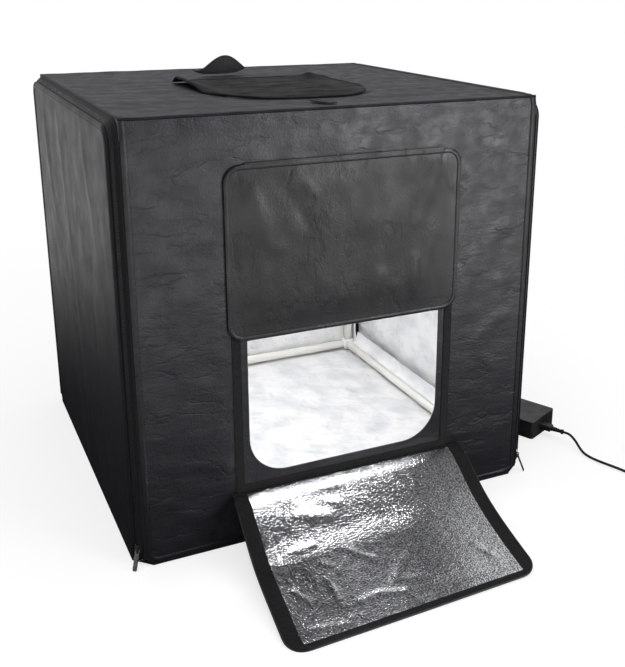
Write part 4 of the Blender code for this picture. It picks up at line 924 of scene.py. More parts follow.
def line_on(points, place, lift, closed=False, spacing=0.008, spot_at=None):
    """A line drawn on a panel: for each point its place, the way across the line, and the way out."""
    flat = even([Vector(point).to_2d() for point in points], spacing, closed)
    out = (place.to_3x3() @ Vector((0, 0, 1))).normalized()
    spots = [spot_at(x, y, lift(x, y)) if spot_at else place @ Vector((x, y, lift(x, y))) for x, y in flat]
    route = []
    for index, spot in enumerate(spots):
        before = spots[index - 1] if closed or index else spot
        after = spots[(index + 1) % len(spots)] if closed or index < len(spots) - 1 else spot
        route.append((spot, (after - before).normalized().cross(out), out))
    return route


def strip(route, section, closed=False):
    """A section of (across, out) carried along a route, as a closed shape."""
    shape = bmesh.new()
    rings = [[shape.verts.new(spot + across * u + out * w) for u, w in section]
             for spot, across, out in route]
    if closed:
        rings.append(rings[0])
    for lower, upper in zip(rings, rings[1:]):
        for index in range(len(section)):
            near, far = index, (index + 1) % len(section)
            shape.faces.new((lower[near], lower[far], upper[far], upper[near]))
    if not closed:
        shape.faces.new(rings[0])
        shape.faces.new(rings[-1])
    return shape


def folded(width, high, low=0.0, shift=0.0):
    """The section of a flat strip whose long edges are rounded."""
    half = width / 2
    soft = min(high - low, width) * 0.45
    return [
        (shift - half, low), (shift - half, high - soft), (shift - half + soft, high),
        (shift + half - soft, high), (shift + half, high - soft), (shift + half, low),
    ]


def stitches(shape, route, closed=False, pitch=STITCH_PITCH, size=STITCH, shift=0.0, stand=0.0):
    """Adds a row of machine stitches along a route: a small seed of thread at each step."""
    spots = [spot + across * shift + out * stand for spot, across, out in route]
    if closed:
        spots.append(spots[0])
    gone = 0.0
    want = pitch / 2
    for index, (here, after) in enumerate(zip(spots, spots[1:])):
        step = (after - here).length
        _, across, out = route[index]
        while want <= gone + step:
            middle = here.lerp(after, (want - gone) / step)
            along = (after - here).normalized()
            ends = [shape.verts.new(middle + along * size[0] / 2 * way) for way in (-1, 1)]
            ring = [
                shape.verts.new(middle + across * size[1] / 2),
                shape.verts.new(middle + out * size[2]),
                shape.verts.new(middle - across * size[1] / 2),
                shape.verts.new(middle - out * size[2] / 2),
            ]
            for k in range(4):
                shape.faces.new((ends[0], ring[k], ring[(k + 1) % 4]))
                shape.faces.new((ends[1], ring[(k + 1) % 4], ring[k]))
            want += pitch
        gone += step


thread, tree, shader = finish("black_thread", THREAD_GREY, 0.62)
shades(tree, shader, grain(tree, 0.0009, 2), WEBBING_BLACK, THREAD_GREY, 0.3, 0.7)
relief(tree, shader, (grain(tree, 0.0005, 2), 0.0001))

hem_cloth = leather("hem_leathercloth", HEM_DARK, HEM_LIGHT, 0.36, 0.75, 0.00015, mottle=0.5)

front_place = Matrix.Translation((0, front_y, 0)) @ FACING_FRONT
back_place = Matrix.Translation((0, -front_y, 0)) @ FACING_BACK
top_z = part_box("top_panel")[1][2]
top_place = Matrix.Translation((0, 0, top_z))
hem_x = shell_x - HEM_IN
top_y = abs(front_y) - HEM_IN
hems = {hem_cloth: bmesh.new(), top_cloth: bmesh.new()}
hem_thread = bmesh.new()
upright_hem = [
    (-hem_x, shell_high - HEM_STOP),
    (-hem_x, shell_low + CORNER_CUT + HEM_OVER_CUT),
    (-hem_x + CORNER_CUT - HEM_STOP, shell_low + HEM_IN),
    (hem_x - CORNER_CUT + HEM_STOP, shell_low + HEM_IN),
    (hem_x, shell_low + CORNER_CUT + HEM_OVER_CUT),
    (hem_x, shell_high - HEM_STOP),
]
top_sides = ([(-hem_x, top_y), (-hem_x, -top_y)], [(hem_x, -top_y), (hem_x, top_y)])
roof_hem = rectangle(-TOP_HALF - HEM_IN, TOP_HALF + HEM_IN, TOP_FRONT - HEM_IN, TOP_BACK + HEM_IN,
                     TOP_CORNER + HEM_IN, steps=9)
hem_lines = [
    (upright_hem, front_place, front_lift, False),
    (upright_hem, back_place, back_lift, False),
    (top_sides[0], top_place, top_lift, False),
    (top_sides[1], top_place, top_lift, False),
    (roof_hem, top_place, top_lift, True),
]
for points, place, lift, closed in hem_lines:
    route = line_on(points, place, lift, closed)
    cloth = top_cloth if place == top_place else hem_cloth
    add(hems[cloth], strip(route, folded(HEM_WIDTH, HEM_HIGH, -CLOTH_SUNK), closed))
    for shift in (-HEM_WIDTH * HEM_ROWS, HEM_WIDTH * HEM_ROWS):
        stitches(hem_thread, route, closed, shift=shift, stand=HEM_HIGH - THREAD_SUNK)
piece("upright_hems", hems[hem_cloth], hem_cloth, "tent", [], 50)
piece("top_hems", hems[top_cloth], top_cloth, "tent", [], 50)
piece("shell_hem_stitches", hem_thread, thread, "tent", [])

# The shell's long edges: the front and the back are sewn to the top and turned, so the edge is a soft roll of
# cloth over the tubes.
ROLL = 0.0020
ROLL_STEPS = 74
ROLL_WANDER = 0.0005


def rounded(half_width, half_height, sides, across=0.0, up=0.0):
    """The section of a round cord or roll, whose middle lies across and up from the line."""
    turns = [k * math.pi / (sides / 2) for k in range(sides)]
    return [(across + half_width * math.cos(turn), up + half_height * math.sin(turn)) for turn in turns]


rolls = bmesh.new()
for y_way in (-1, 1):
    route = []
    for step in range(ROLL_STEPS + 1):
        x = -shell_x + 2 * shell_x * step / ROLL_STEPS
        wander = ROLL_WANDER * clouds(x, y_way, 0.04, 41)
        spot = Vector((x, y_way * (abs(front_y) - TURN_DEEP - ROLL * 0.4 + wander),
                       top_z - ROLL * 0.85 + wander))
        route.append((spot, Vector((0, 1, 0)), Vector((0, 0, 1))))
    add(rolls, strip(route, rounded(ROLL, ROLL, 12)))
piece("shell_edge_rolls", rolls, top_cloth, "tent", [], 60)

# Window border: black hook-and-loop tape, 12 mm wide at the sides, 16 mm at the head and 18.5 mm at the sill,
# sewn round the window with a row along each edge. The flaps close against it.
border_low, border_high = map(Vector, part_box("window_border"))
BORDER_SIDE = 0.012
BORDER_SILL = 0.0185
BORDER_HEAD = 0.016
BORDER_ROW_IN = 0.0012
WEBBING_GREY = (0.0180, 0.0180, 0.0190)
BORDER_ROUND = 0.004


def webbing(name, pile=0.0, fade=1.0, shine=0.5):
    """Woven black tape, or with a pile the loop side of hook-and-loop tape."""
    material, tree, shader = finish(name, WEBBING_GREY, 0.82)
    shader.inputs["Specular IOR Level"].default_value = shine
    dark, light = ([value * fade for value in colour] for colour in (WEBBING_BLACK, WEBBING_GREY))
    shades(tree, shader, grain(tree, 0.0016, 4), dark, light, 0.35, 0.7)
    shader.inputs["Sheen Weight"].default_value = 0.15 * fade
    shader.inputs["Sheen Roughness"].default_value = 0.45
    weave = tree.nodes.new("ShaderNodeTexVoronoi")
    weave.inputs["Scale"].default_value = 1100
    space = tree.nodes.new("ShaderNodeTexCoord")
    tree.links.new(space.outputs["Object"], weave.inputs["Vector"])
    relief(
        tree, shader,
        (weave.outputs["Distance"], 0.00025 + pile),
        (grain(tree, 0.0045, 3), 0.0004 + pile),
    )
    return material


loop_tape = webbing("hook_and_loop_tape", 0.0003)
outer = rectangle(border_low.x, border_high.x, border_low.z, border_high.z, BORDER_ROUND)
inner = rectangle(border_low.x + BORDER_SIDE, border_high.x - BORDER_SIDE, border_low.z + BORDER_SILL,
                  border_high.z - BORDER_HEAD, BORDER_ROUND)
shape = cut_cloth(outer, [inner], CLOTH_CELL)
area = area_of(shape)
border_place = Matrix.Translation((0, border_low.y, 0)) @ FACING_FRONT
mould(shape, border_place, front_lift)
border = piece("window_hook_tape", thicken(shape, border_high.y - border_low.y), loop_tape, "tent",
               ["window_border"], 50)
border_rows = bmesh.new()
border_lines = (
    (BORDER_ROW_IN, BORDER_ROW_IN, BORDER_ROW_IN),
    (BORDER_SIDE - BORDER_ROW_IN, BORDER_SILL - BORDER_ROW_IN, BORDER_HEAD - BORDER_ROW_IN),
)
for side, sill, head in border_lines:
    points = rectangle(border_low.x + side, border_high.x - side, border_low.z + sill, border_high.z - head,
                       0.003)
    stitches(border_rows, line_on(points, border_place, front_lift, True), True)
piece("window_tape_stitches", border_rows, thread, "tent", [])

# Window hem: the cloth's cut edge round the window, turned in and sewn with one row, 3 mm from the edge.
# A rounded bead of the same cloth runs along this opening and the one in the top.
WINDOW_ROW_OUT = 0.0030
BEAD_WIDE, BEAD_HIGH = 0.0009, 0.00095
points = rectangle(-WINDOW_HALF - WINDOW_ROW_OUT, WINDOW_HALF + WINDOW_ROW_OUT, WINDOW_LOW - WINDOW_ROW_OUT,
                   WINDOW_HIGH + WINDOW_ROW_OUT, WINDOW_CORNER + WINDOW_ROW_OUT, steps=12)
hem_rows = bmesh.new()
stitches(hem_rows, line_on(points, front_place, front_lift, True), True)
piece("window_hem_stitches", hem_rows, thread, "tent", [])
edge_bead = bmesh.new()
bead = rounded(BEAD_WIDE, BEAD_HIGH, 8, up=-SKIN / 2)
for opening, place, lift in ((window, front_place, front_lift), (roof_opening, top_place, top_lift)):
    add(edge_bead, strip(line_on(opening, place, lift, True), bead, True))
piece("opening_beads", edge_bead, shell_cloth, "tent", [], 80)

# Upper flap: one layer of shell cloth hanging over the upper part of the window, its edge turned and bound
# all round, and sewn to the front along its top. Soft folds fan down from the seam.
UPPER_DARK = (0.0035, 0.0037, 0.0046)
UPPER_LIGHT = (0.0120, 0.0125, 0.0150)
FLAP_CORNER = 0.022
FLAP_PROUD = 0.0040
BINDING_WIDTH = 0.0062
BINDING_HIGH = 0.0005
BINDING_SUNK = 0.0002
BINDING_ROWS = 0.36
FLAP_HEM = 0.0200
UPPER_FOLDS = (
    ((-0.150, 0.520), (-0.106, 0.425), 0.0014, 0.0120),
    ((-0.110, 0.525), (-0.060, 0.450), -0.0010, 0.0100),
    ((-0.080, 0.530), (-0.052, 0.490), 0.0010, 0.0080),
    ((-0.010, 0.525), (0.020, 0.440), 0.0011, 0.0160),
    ((0.078, 0.530), (0.050, 0.380), -0.0011, 0.0140),
    ((0.134, 0.515), (0.104, 0.440), 0.0013, 0.0120),
    ((0.104, 0.385), (0.096, 0.312), 0.0019, 0.0060),
    ((0.046, 0.370), (0.034, 0.312), 0.0015, 0.0075),
    ((-0.006, 0.345), (-0.010, 0.312), 0.0014, 0.0060),
    ((-0.038, 0.340), (-0.044, 0.312), 0.0014, 0.0055),
    ((-0.074, 0.335), (-0.080, 0.312), 0.0011, 0.0055),
    ((0.068, 0.350), (0.064, 0.312), 0.0012, 0.0055),
    ((-0.146, 0.450), (-0.142, 0.345), -0.0007, 0.0120),
    ((0.140, 0.400), (0.135, 0.335), -0.0010, 0.0110),
)
upper_low, upper_high = map(Vector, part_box("upper_flap"))
upper_place = Matrix.Translation((0, upper_low.y, 0)) @ FACING_FRONT


def pressed(x, y, folds):
    """The height at a point of single soft folds: each is a line between two ends, a height and a width."""
    total = 0
    for (x0, y0), (x1, y1), high, wide in folds:
        long = Vector((x1 - x0, y1 - y0))
        along = min(max((Vector((x - x0, y - y0)) @ long) / long.length_squared, 0), 1)
        off = math.hypot(x - x0 - along * long.x, y - y0 - along * long.y)
        total += high * math.exp(-((off / wide) ** 2))
    return total


def upper_lift(x, z):
    """The flap's own folds, over the lie of the front behind it."""
    inside = rise(upper_high.x - abs(x), 0.004, 0.04) * rise(z - upper_low.z, 0.000, 0.06)
    inside *= rise(upper_high.z - z, 0.004, 0.03)
    soft = 0.0012 * (1 + clouds(x, z * 0.5, 0.060, 51)) + 0.0005 * clouds(x, z * 0.6, 0.024, 53)
    wander = 0.006 * clouds(x, z, 0.05, 55)
    return front_lift(x, z) + inside * (0.0010 + soft + pressed(x + wander, z, UPPER_FOLDS))


flap_cloth = leather("flap_leathercloth", UPPER_DARK, UPPER_LIGHT, 0.30, 0.85, 0.00026, (1.2, 1.0, 0.6),
                     0.0009, 1.0, 0.048)
wide, low, high = upper_high.x + FLAP_PROUD, upper_low.z - FLAP_PROUD, upper_high.z
shape = cut_cloth(rectangle(-wide, wide, low, high, FLAP_CORNER), [], 0.005)
area = area_of(shape)
mould(shape, upper_place, upper_lift)
upper_flap = piece("upper_flap_cloth", thicken(shape, upper_high.y - upper_low.y), flap_cloth,
                   "window_upper_flap", ["upper_flap"], 50)
binding_place = Matrix.Translation((0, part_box("upper_flap_binding")[1].y, 0)) @ FACING_FRONT
half_binding = BINDING_WIDTH / 2
points = rectangle(half_binding - wide, wide - half_binding, low + half_binding, high - half_binding,
                   FLAP_CORNER - half_binding)
route = line_on(points, binding_place, upper_lift, True)
piece("upper_flap_tape", strip(route, folded(BINDING_WIDTH, BINDING_HIGH, -BINDING_SUNK), True), flap_cloth,
      "window_upper_flap", ["upper_flap_binding"], 50)
flap_rows = bmesh.new()
for shift in (-BINDING_ROWS * BINDING_WIDTH, BINDING_ROWS * BINDING_WIDTH):
    stitches(flap_rows, route, True, shift=shift, stand=BINDING_HIGH - BINDING_SUNK)
hem_line = [(BINDING_WIDTH - wide, low + FLAP_HEM), (wide - BINDING_WIDTH, low + FLAP_HEM)]
stitches(flap_rows, line_on(hem_line, upper_place, upper_lift), False)
piece("upper_flap_stitches", flap_rows, thread, "window_upper_flap", [])

# Seam of the upper flap: a strip of cloth that bends from the front onto the flap. It is sewn down on both,
# and the flap swings on it.
FLAP_SEAM_HALF = 0.0022
seam_z = upper_high.z
seam_points = [(0.024 - upper_high.x, seam_z), (upper_high.x - 0.024, seam_z)]


def seam_section(half, high):
    """A strip that is highest along its middle and thin at both edges."""
    return [(-half, 0.0001), (-half * 0.5, high * 0.75), (0, high), (half * 0.5, high * 0.75), (half, 0.0001),
            (half * 0.5, -0.0002), (-half * 0.5, -0.0002)]


route = line_on(seam_points, Matrix.Translation((0, upper_low.y, 0)) @ FACING_FRONT, upper_lift)
seam = piece("upper_flap_seam", strip(route, seam_section(FLAP_SEAM_HALF, 0.0003)), flap_cloth, "", [],
             80)
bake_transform(seam)

# Lower flap: shell cloth outside and silver foil cloth inside, edged with hook-and-loop tape: 20 mm down both
# sides and 9 mm along the free edge. It is folded out: it bends down from its seam and flattens on the table.
# Each bend below is a share of the length and the slope there in degrees.
LOWER_HALF = 0.181
LOWER_LENGTH = 0.250
LOWER_CORNER = 0.027
TAPE_SIDE = 0.020
TAPE_FAR = 0.009
TAPE_NEAR = 0.004
TAPE_HIGH = 0.0013
SEAM_GAP = 0.0005
LOWER_SLOPE = math.radians(17.84)
LOWER_BENDS = (
    (0, 12), (0.05, 15), (0.11, 27), (0.30, 28), (0.42, 22),
    (0.55, 15.9), (0.70, 12.9), (0.85, 10.9), (0.93, 8.9), (1, 6),
)
LOWER_TWIST = -0.10
LOWER_SHIFT, LOWER_SKEW, LOWER_TURN = 0.006, 0.058, 0.020
LOWER_EDGE = 0.0016
CLOTH_UNDER, FOIL_UNDER, EDGE_UNDER = 0.0016, 0.0007, 0.0018
FOIL_TUCK = 0.004
FOIL_CRUMPLE = 0.00030
# The darker foil colour is painted shade between glints.
FOIL_SPECKLE_SHADE = (0.36, 0.37, 0.39)
FOIL_LIGHT = (0.86, 0.87, 0.89)
FOIL_CREASES = (
    ((-0.078, -0.154), (-0.049, -0.130), 0.0011, 0.0045),
    ((-0.049, -0.130), (-0.024, -0.149), 0.0011, 0.0045),
    ((-0.096, -0.133), (-0.085, -0.142), 0.0007, 0.0040),
    ((-0.128, -0.105), (-0.098, -0.104), 0.0008, 0.0045),
    ((-0.145, -0.162), (-0.130, -0.186), 0.0008, 0.0030),
    ((-0.098, -0.159), (-0.093, -0.203), 0.0008, 0.0040),
    ((-0.070, -0.206), (-0.040, -0.203), 0.0011, 0.0045),
    ((-0.040, -0.203), (-0.006, -0.213), 0.0012, 0.0045),
    ((-0.006, -0.213), (0.008, -0.237), 0.0011, 0.0045),
    ((-0.088, -0.225), (-0.092, -0.240), 0.0009, 0.0030),
    ((-0.074, -0.227), (-0.076, -0.240), 0.0009, 0.0030),
    ((-0.007, -0.221), (-0.013, -0.238), 0.0007, 0.0035),
    ((0.008, -0.124), (-0.018, -0.185), -0.0007, 0.0050),
    ((0.022, -0.156), (-0.009, -0.185), 0.0008, 0.0045),
    ((0.119, -0.175), (0.133, -0.200), 0.0007, 0.0050),
    ((0.058, -0.228), (0.054, -0.240), -0.0006, 0.0030),
    ((-0.090, -0.032), (-0.035, -0.042), -0.0007, 0.0130),
    ((-0.100, -0.058), (-0.060, -0.068), 0.0011, 0.0080),
    ((-0.060, -0.045), (-0.040, -0.052), 0.0008, 0.0060),
    ((-0.155, -0.096), (-0.147, -0.124), 0.0009, 0.0060),
    ((-0.009, -0.191), (0.040, -0.205), 0.0007, 0.0060),
    ((-0.088, -0.157), (-0.095, -0.179), 0.0007, 0.0040),
    ((0.020, -0.223), (0.158, -0.223), -0.0007, 0.0100),
    ((-0.150, -0.222), (-0.100, -0.232), 0.0005, 0.0060),
)
lower_hinge_y, lower_hinge_z = -0.3021, 0.080
lower_place = Matrix.Translation((0, lower_hinge_y, lower_hinge_z)) @ Matrix.Rotation(LOWER_SLOPE, 4, "X")


def lower_outline(side_in, far_in, near_in, radius):
    """The flap's outline, laid flat, moved in from its sides, its free edge and its seam."""
    half = LOWER_HALF - side_in
    far, near = -LOWER_LENGTH + far_in, -SEAM_GAP - near_in
    return outline((-half, far, radius), (half, far, radius), (half, near, 0), (-half, near, 0))


LOWER_STEPS = 100
lower_drops = [0.0]
for step in range(LOWER_STEPS):
    share = (step + 0.5) / LOWER_STEPS
    for (here, slope), (after, next_slope) in zip(LOWER_BENDS, LOWER_BENDS[1:]):
        if here <= share < after:
            bend = math.radians(slope + (next_slope - slope) * (share - here) / (after - here))
    lower_drops.append(lower_drops[-1] - LOWER_LENGTH / LOWER_STEPS * math.tan(bend - LOWER_SLOPE))


def lower_sink(x, y):
    """How far the flap lies off the straight line from its seam to its free edge."""
    share = min(max(-y / LOWER_LENGTH, 0), 1) * LOWER_STEPS
    step = min(int(share), LOWER_STEPS - 1)
    drop = lower_drops[step] + (lower_drops[step + 1] - lower_drops[step]) * (share - step)
    return drop * (1 + LOWER_TWIST * x / LOWER_HALF + 0.25 * clouds(x, y, 0.12, 61))


def on_lower(x, y, lift):
    """The place of a point of the flap, which hangs a little askew and ends on the table."""
    across = x + LOWER_SHIFT + LOWER_SKEW * y
    along = y * (1 - LOWER_TURN * x / LOWER_HALF)
    past = max(-along - LOWER_LENGTH, 0) * math.tan(LOWER_SLOPE)
    return lower_place @ Vector((across, along, lift + past))


def mould_lower(shape, depth, lift):
    """Puts a flat piece of the flap in its place, a depth under its upper side."""
    for vertex in shape.verts:
        x, y, _ = vertex.co
        vertex.co = on_lower(x, y, lift(x, y) - depth)
    shape.normal_update()
    return shape


def foil_lift(x, y):
    """Crumples in the foil: single sharp creases and many small ones, none at the taped edges."""
    inside = rise(LOWER_HALF - TAPE_SIDE - abs(x), 0, 0.014)
    inside *= rise(min(-y, LOWER_LENGTH + y - TAPE_FAR), 0.002, 0.014)
    small = 0.5 * clouds(x, y, 0.070, 71) + 0.45 * clouds(x, y, 0.030, 73)
    small -= 0.6 * creases(x, y * 1.4, 0.060, 77)
    return lower_sink(x, y) + inside * (FOIL_CRUMPLE * small + pressed(x, y, FOIL_CREASES))


foil, tree, shader = finish("silver_foil", FOIL_LIGHT, 0.16, 1.0)
# The colour is speckled darker at a 2.4 mm grain: painted speckle of glints and shade.
shades(tree, shader, grain(tree, 0.0024, 2), FOIL_SPECKLE_SHADE, FOIL_LIGHT, 0.40, 0.56)
polish(tree, shader, grain(tree, 0.05, 4), 0.09, 0.15)
relief(
    tree,
    shader,
    (ridged(tree, grain(tree, 0.050, 3, (1, 1, 1), (0, 0, 0.6))), 0.0002),
    (grain(tree, 0.0022, cells=True), 0.00030),
    (grain(tree, 0.0014, 1), 0.00024),
)

shape = cut_cloth(lower_outline(0, 0, 0, LOWER_CORNER), [], CLOTH_CELL)
area = area_of(shape)
mould_lower(shape, CLOTH_UNDER, lower_sink)
lower_skin = piece("lower_flap_cloth", thicken(shape, SKIN), shell_cloth, "window_lower_flap", ["lower_flap"],
                   50)

shape = cut_cloth(lower_outline(TAPE_SIDE - FOIL_TUCK, TAPE_FAR - 0.003, TAPE_NEAR - 0.003, LOWER_CORNER / 3),
                  [], 0.0030)
area = area_of(shape)
mould_lower(shape, FOIL_UNDER, foil_lift)
foil_sheet = piece("lower_flap_foil", thicken(shape, LINING), foil, "window_lower_flap",
                   ["lower_flap_lining"], 80)

flap_tape = webbing("flap_hook_and_loop_tape", 0.0003, 0.55, 0.25)
shape = cut_cloth(
    lower_outline(0, 0, 0, LOWER_CORNER), [lower_outline(TAPE_SIDE, TAPE_FAR, TAPE_NEAR, 0.004)], CLOTH_CELL
)
area = area_of(shape)
mould_lower(shape, 0, lower_sink)
edge_tape = piece("lower_flap_tape", thicken(shape, TAPE_HIGH), flap_tape, "window_lower_flap",
                  ["lower_flap_strips"], 50)
lower_rows = bmesh.new()
for side_in, far_in, radius in ((0.0030, 0.0024, LOWER_CORNER - 0.0016),
                                (TAPE_SIDE - 0.0016, TAPE_FAR - 0.0016, 0.004)):
    half, far = LOWER_HALF - side_in, -LOWER_LENGTH + far_in
    points = outline((half, -SEAM_GAP, 0), (half, far, radius), (-half, far, radius), (-half, -SEAM_GAP, 0))
    stitches(lower_rows, line_on(points, lower_place, lower_sink, spot_at=on_lower), False, stand=-0.0003)
piece("lower_flap_stitches", lower_rows, thread, "window_lower_flap", [])
edge_line = outline((LOWER_HALF, -0.010, 0), (LOWER_HALF, -LOWER_LENGTH, LOWER_CORNER),
                    (-LOWER_HALF, -LOWER_LENGTH, LOWER_CORNER), (-LOWER_HALF, -0.010, 0))
route = line_on(edge_line, lower_place, lambda x, y: lower_sink(x, y) - EDGE_UNDER, spot_at=on_lower)
piece("lower_flap_edge", strip(route, rounded(LOWER_EDGE, LOWER_EDGE, 10)), hem_cloth, "window_lower_flap",
      [], 80)

# Seam of the lower flap: a strip of shell cloth that bends from the front onto the flap's outer side. It is
# sewn to the front below the window's tape, and the flap swings on it.
lower_seam = bmesh.new()
LOWER_SEAM = 0.009
LOWER_SEAM_STEPS = 44
LOWER_SEAM_UNDER = 0.0033
rings = []
for step in range(LOWER_SEAM_STEPS + 1):
    x = (-1 + 2 * step / LOWER_SEAM_STEPS) * (LOWER_HALF - 0.008)
    on_flap = on_lower(x, -LOWER_SEAM, lower_sink(x, -LOWER_SEAM) - LOWER_SEAM_UNDER)
    on_front = Vector((on_flap.x, border_low.y - 0.0001, lower_hinge_z - 0.0105))
    under = Vector((on_flap.x, lower_hinge_y - 0.0004, lower_hinge_z - 0.0048))
    rings.append([on_front, under, on_flap])
join_rows(lower_seam, [[lower_seam.verts.new(spot) for spot in ring] for ring in rings])
lower_seam_piece = piece("lower_flap_seam", thicken(lower_seam, 0.0006), shell_cloth, "", [],
                         80)
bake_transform(lower_seam_piece)

# Top flap: a loose flap of shell cloth over the camera opening, sewn down along its back edge. Its front is
# cut round, its left edge curls up, and a fold stands near the right end of its seam.
FLAP_HALF = 0.127
FLAP_LENGTH = 0.2725
FLAP_ROUND = 0.110
TOP_HINGE_Y = 0.080
FOLD = (0.100, 0.018, 0.0090)
FOLD_WIDE, FOLD_DEEP = 0.020, 0.016
CURL_LIFT, CURL_WIDE = 0.0090, 0.019
FRONT_LIFT = 0.0002
ROOF_DARK, ROOF_LIGHT = (0.0045, 0.0045, 0.0050), (0.0120, 0.0120, 0.0130)
SEAM_STIFF = 0.012
SEAM_HALF = 0.004
ROOF_HEM_WIDE, ROOF_HEM_HIGH, ROOF_HEM_IN = 0.0070, 0.0006, 0.0034
flap_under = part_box("top_flap")[0][2]


def top_flap_spot(s, t):
    """A point on the flap's upper side: s from left to right, t from the seam to the front edge."""
    across = (2 * s - 1) * FLAP_HALF
    back = t * (FLAP_LENGTH - FLAP_ROUND * (2 * s - 1) ** 4)
    held = 1 - math.exp(-((back / SEAM_STIFF) ** 2))
    fold = FOLD[2] * math.exp(-abs(across - FOLD[0]) / FOLD_WIDE - ((back - FOLD[1]) / FOLD_DEEP) ** 2)
    curl = CURL_LIFT * math.exp(-(((across + FLAP_HALF) / CURL_WIDE) ** 2)) * (1 - t**3)
    ruffle = 0.0007 * (1 + clouds(across * 0.5, back * 2.2, 0.05, 81))
    ruffle += 0.0010 * creases(across * 0.6, back * 2, 0.07, 83)
    up = (fold + curl) * held + FRONT_LIFT * t**6
    up += ruffle * held * rise(1 - t, 0, 0.25) * rise(min(s, 1 - s), 0, 0.2)
    y = TOP_HINGE_Y - back
    over_hem = (HEM_HIGH + 0.0002) * (1 - rise(TOP_FRONT - 2 * HEM_IN - y, 0, 0.009))
    return Vector((across, y, flap_under + SKIN + top_lift(across, y) + over_hem + up))


shape = bmesh.new()
bmesh.ops.create_grid(shape, x_segments=44, y_segments=44, size=1)
for vertex in shape.verts:
    vertex.co = top_flap_spot((vertex.co.x + 1) / 2, (1 - vertex.co.y) / 2)
shape.normal_update()
area = area_of(shape)
roof_cloth = leather("roof_leathercloth", ROOF_DARK, ROOF_LIGHT, 0.58, 0.08, 0.00020, (0.6, 1.4, 1.0), 0.0008,
                     0.6)
top_flap = piece("roof_flap_cloth", thicken(shape, SKIN), roof_cloth, "roof_flap", ["top_flap"],
                 50)
route = []
rim = [(0, t / 30) for t in range(1, 31)] + [(s / 50, 1) for s in range(1, 50)]
rim += [(1, 1 - t / 30) for t in range(30)]
spots = [top_flap_spot(s, t) for s, t in rim]
for index, spot in enumerate(spots):
    before, after = spots[max(index - 1, 0)], spots[min(index + 1, len(spots) - 1)]
    across = (after - before).normalized().cross(Vector((0, 0, 1))).normalized()
    route.append((spot, across, Vector((0, 0, 1))))
roof_rim = bmesh.new()
add(roof_rim, strip(route, folded(ROOF_HEM_WIDE, ROOF_HEM_HIGH, -SKIN - 0.0008, -ROOF_HEM_IN)))
piece("roof_flap_hem", roof_rim, roof_cloth, "roof_flap", [], 50)
roof_rows = bmesh.new()
stitches(roof_rows, route, False, shift=-0.0050, stand=ROOF_HEM_HIGH)
piece("roof_flap_stitches", roof_rows, thread, "roof_flap", [])
seam_line = [(-FLAP_HALF + 0.004, TOP_HINGE_Y), (FLAP_HALF - 0.004, TOP_HINGE_Y)]
route = line_on(seam_line, Matrix.Translation((0, 0, flap_under + SKIN)), lambda x, y: 0)
roof_seam = piece("roof_flap_seam", strip(route, seam_section(SEAM_HALF, 0.0012)), roof_cloth, "", [],
                  80)
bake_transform(roof_seam)

# Top tongue: a leaf of doubled shell cloth behind the flap, that the flap is tucked under or held by. Its
# foot is sewn to the top, and it stands up from it in a low arch.
TONGUE_HALF = 0.047
TONGUE_X, TONGUE_Y = -0.0225, 0.172
TONGUE_SWEEP, TONGUE_DRIFT = 0.008, 0.006
TONGUE_END, TONGUE_TIP = 0.0075, 0.0015
TONGUE_RISE, TONGUE_LEAN = 0.0215, 0.005
TONGUE_PUFF = 0.0016
TONGUE_ROWS = (0.88, 0.14)
TONGUE_STEPS = 60
ARCH_PEAK = 2 / 3 * (4 / 3) ** 2
TONGUE_LIGHT = (0.024, 0.024, 0.026)


def tongue_spot(s, t):
    """A point in the middle of the leaf: s from left to right, t from its foot to its edge."""
    u = 2 * s - 1
    low = TONGUE_END * u**4
    crown = (1 - u) * (1 + u) ** 2 / ARCH_PEAK
    high = low + TONGUE_TIP + (TONGUE_RISE + TONGUE_END * (1 - u**4)) * crown
    puff = TONGUE_PUFF * math.sin(math.pi * t) * crown
    return Vector((
        TONGUE_X + TONGUE_HALF * u + TONGUE_DRIFT * u * u,
        TONGUE_Y + TONGUE_SWEEP * u * u + TONGUE_LEAN * t * crown - puff,
        flap_under + SKIN / 2 + low + t * (high - low),
    ))


shape = bmesh.new()
bmesh.ops.create_grid(shape, x_segments=40, y_segments=14, size=1)
for vertex in shape.verts:
    vertex.co = tongue_spot((vertex.co.x + 1) / 2, (vertex.co.y + 1) / 2)
shape.normal_update()
tongue_flat = (2 * TONGUE_HALF, TONGUE_RISE + TONGUE_END)
box_area = tongue_flat[0] * tongue_flat[1]
area = min(max(area_of(shape), 0.3001 * box_area), box_area)
for vertex in shape.verts:
    vertex.co += vertex.normal * SKIN / 2
tongue_cloth = leather("tongue_leathercloth", ROOF_LIGHT, TONGUE_LIGHT, 0.50, 0.35, 0.00020, mottle=0.6)
tongue = piece("roof_tongue", thicken(shape, SKIN), tongue_cloth, "roof_tab", ["top_tab"], 50)
tongue_rows = bmesh.new()
for height in TONGUE_ROWS:
    route = []
    for step in range(TONGUE_STEPS + 1):
        s = 0.04 + 0.92 * step / TONGUE_STEPS
        here, after = tongue_spot(s, height), tongue_spot(s + 0.01, height)
        along = (after - here).normalized()
        out = along.cross((tongue_spot(s, height + 0.02) - here).normalized()).normalized()
        route.append((here + out * SKIN / 2, along.cross(out), out))
    stitches(tongue_rows, route, False, pitch=0.0030)
piece("roof_tongue_stitches", tongue_rows, thread, "roof_tab", [])

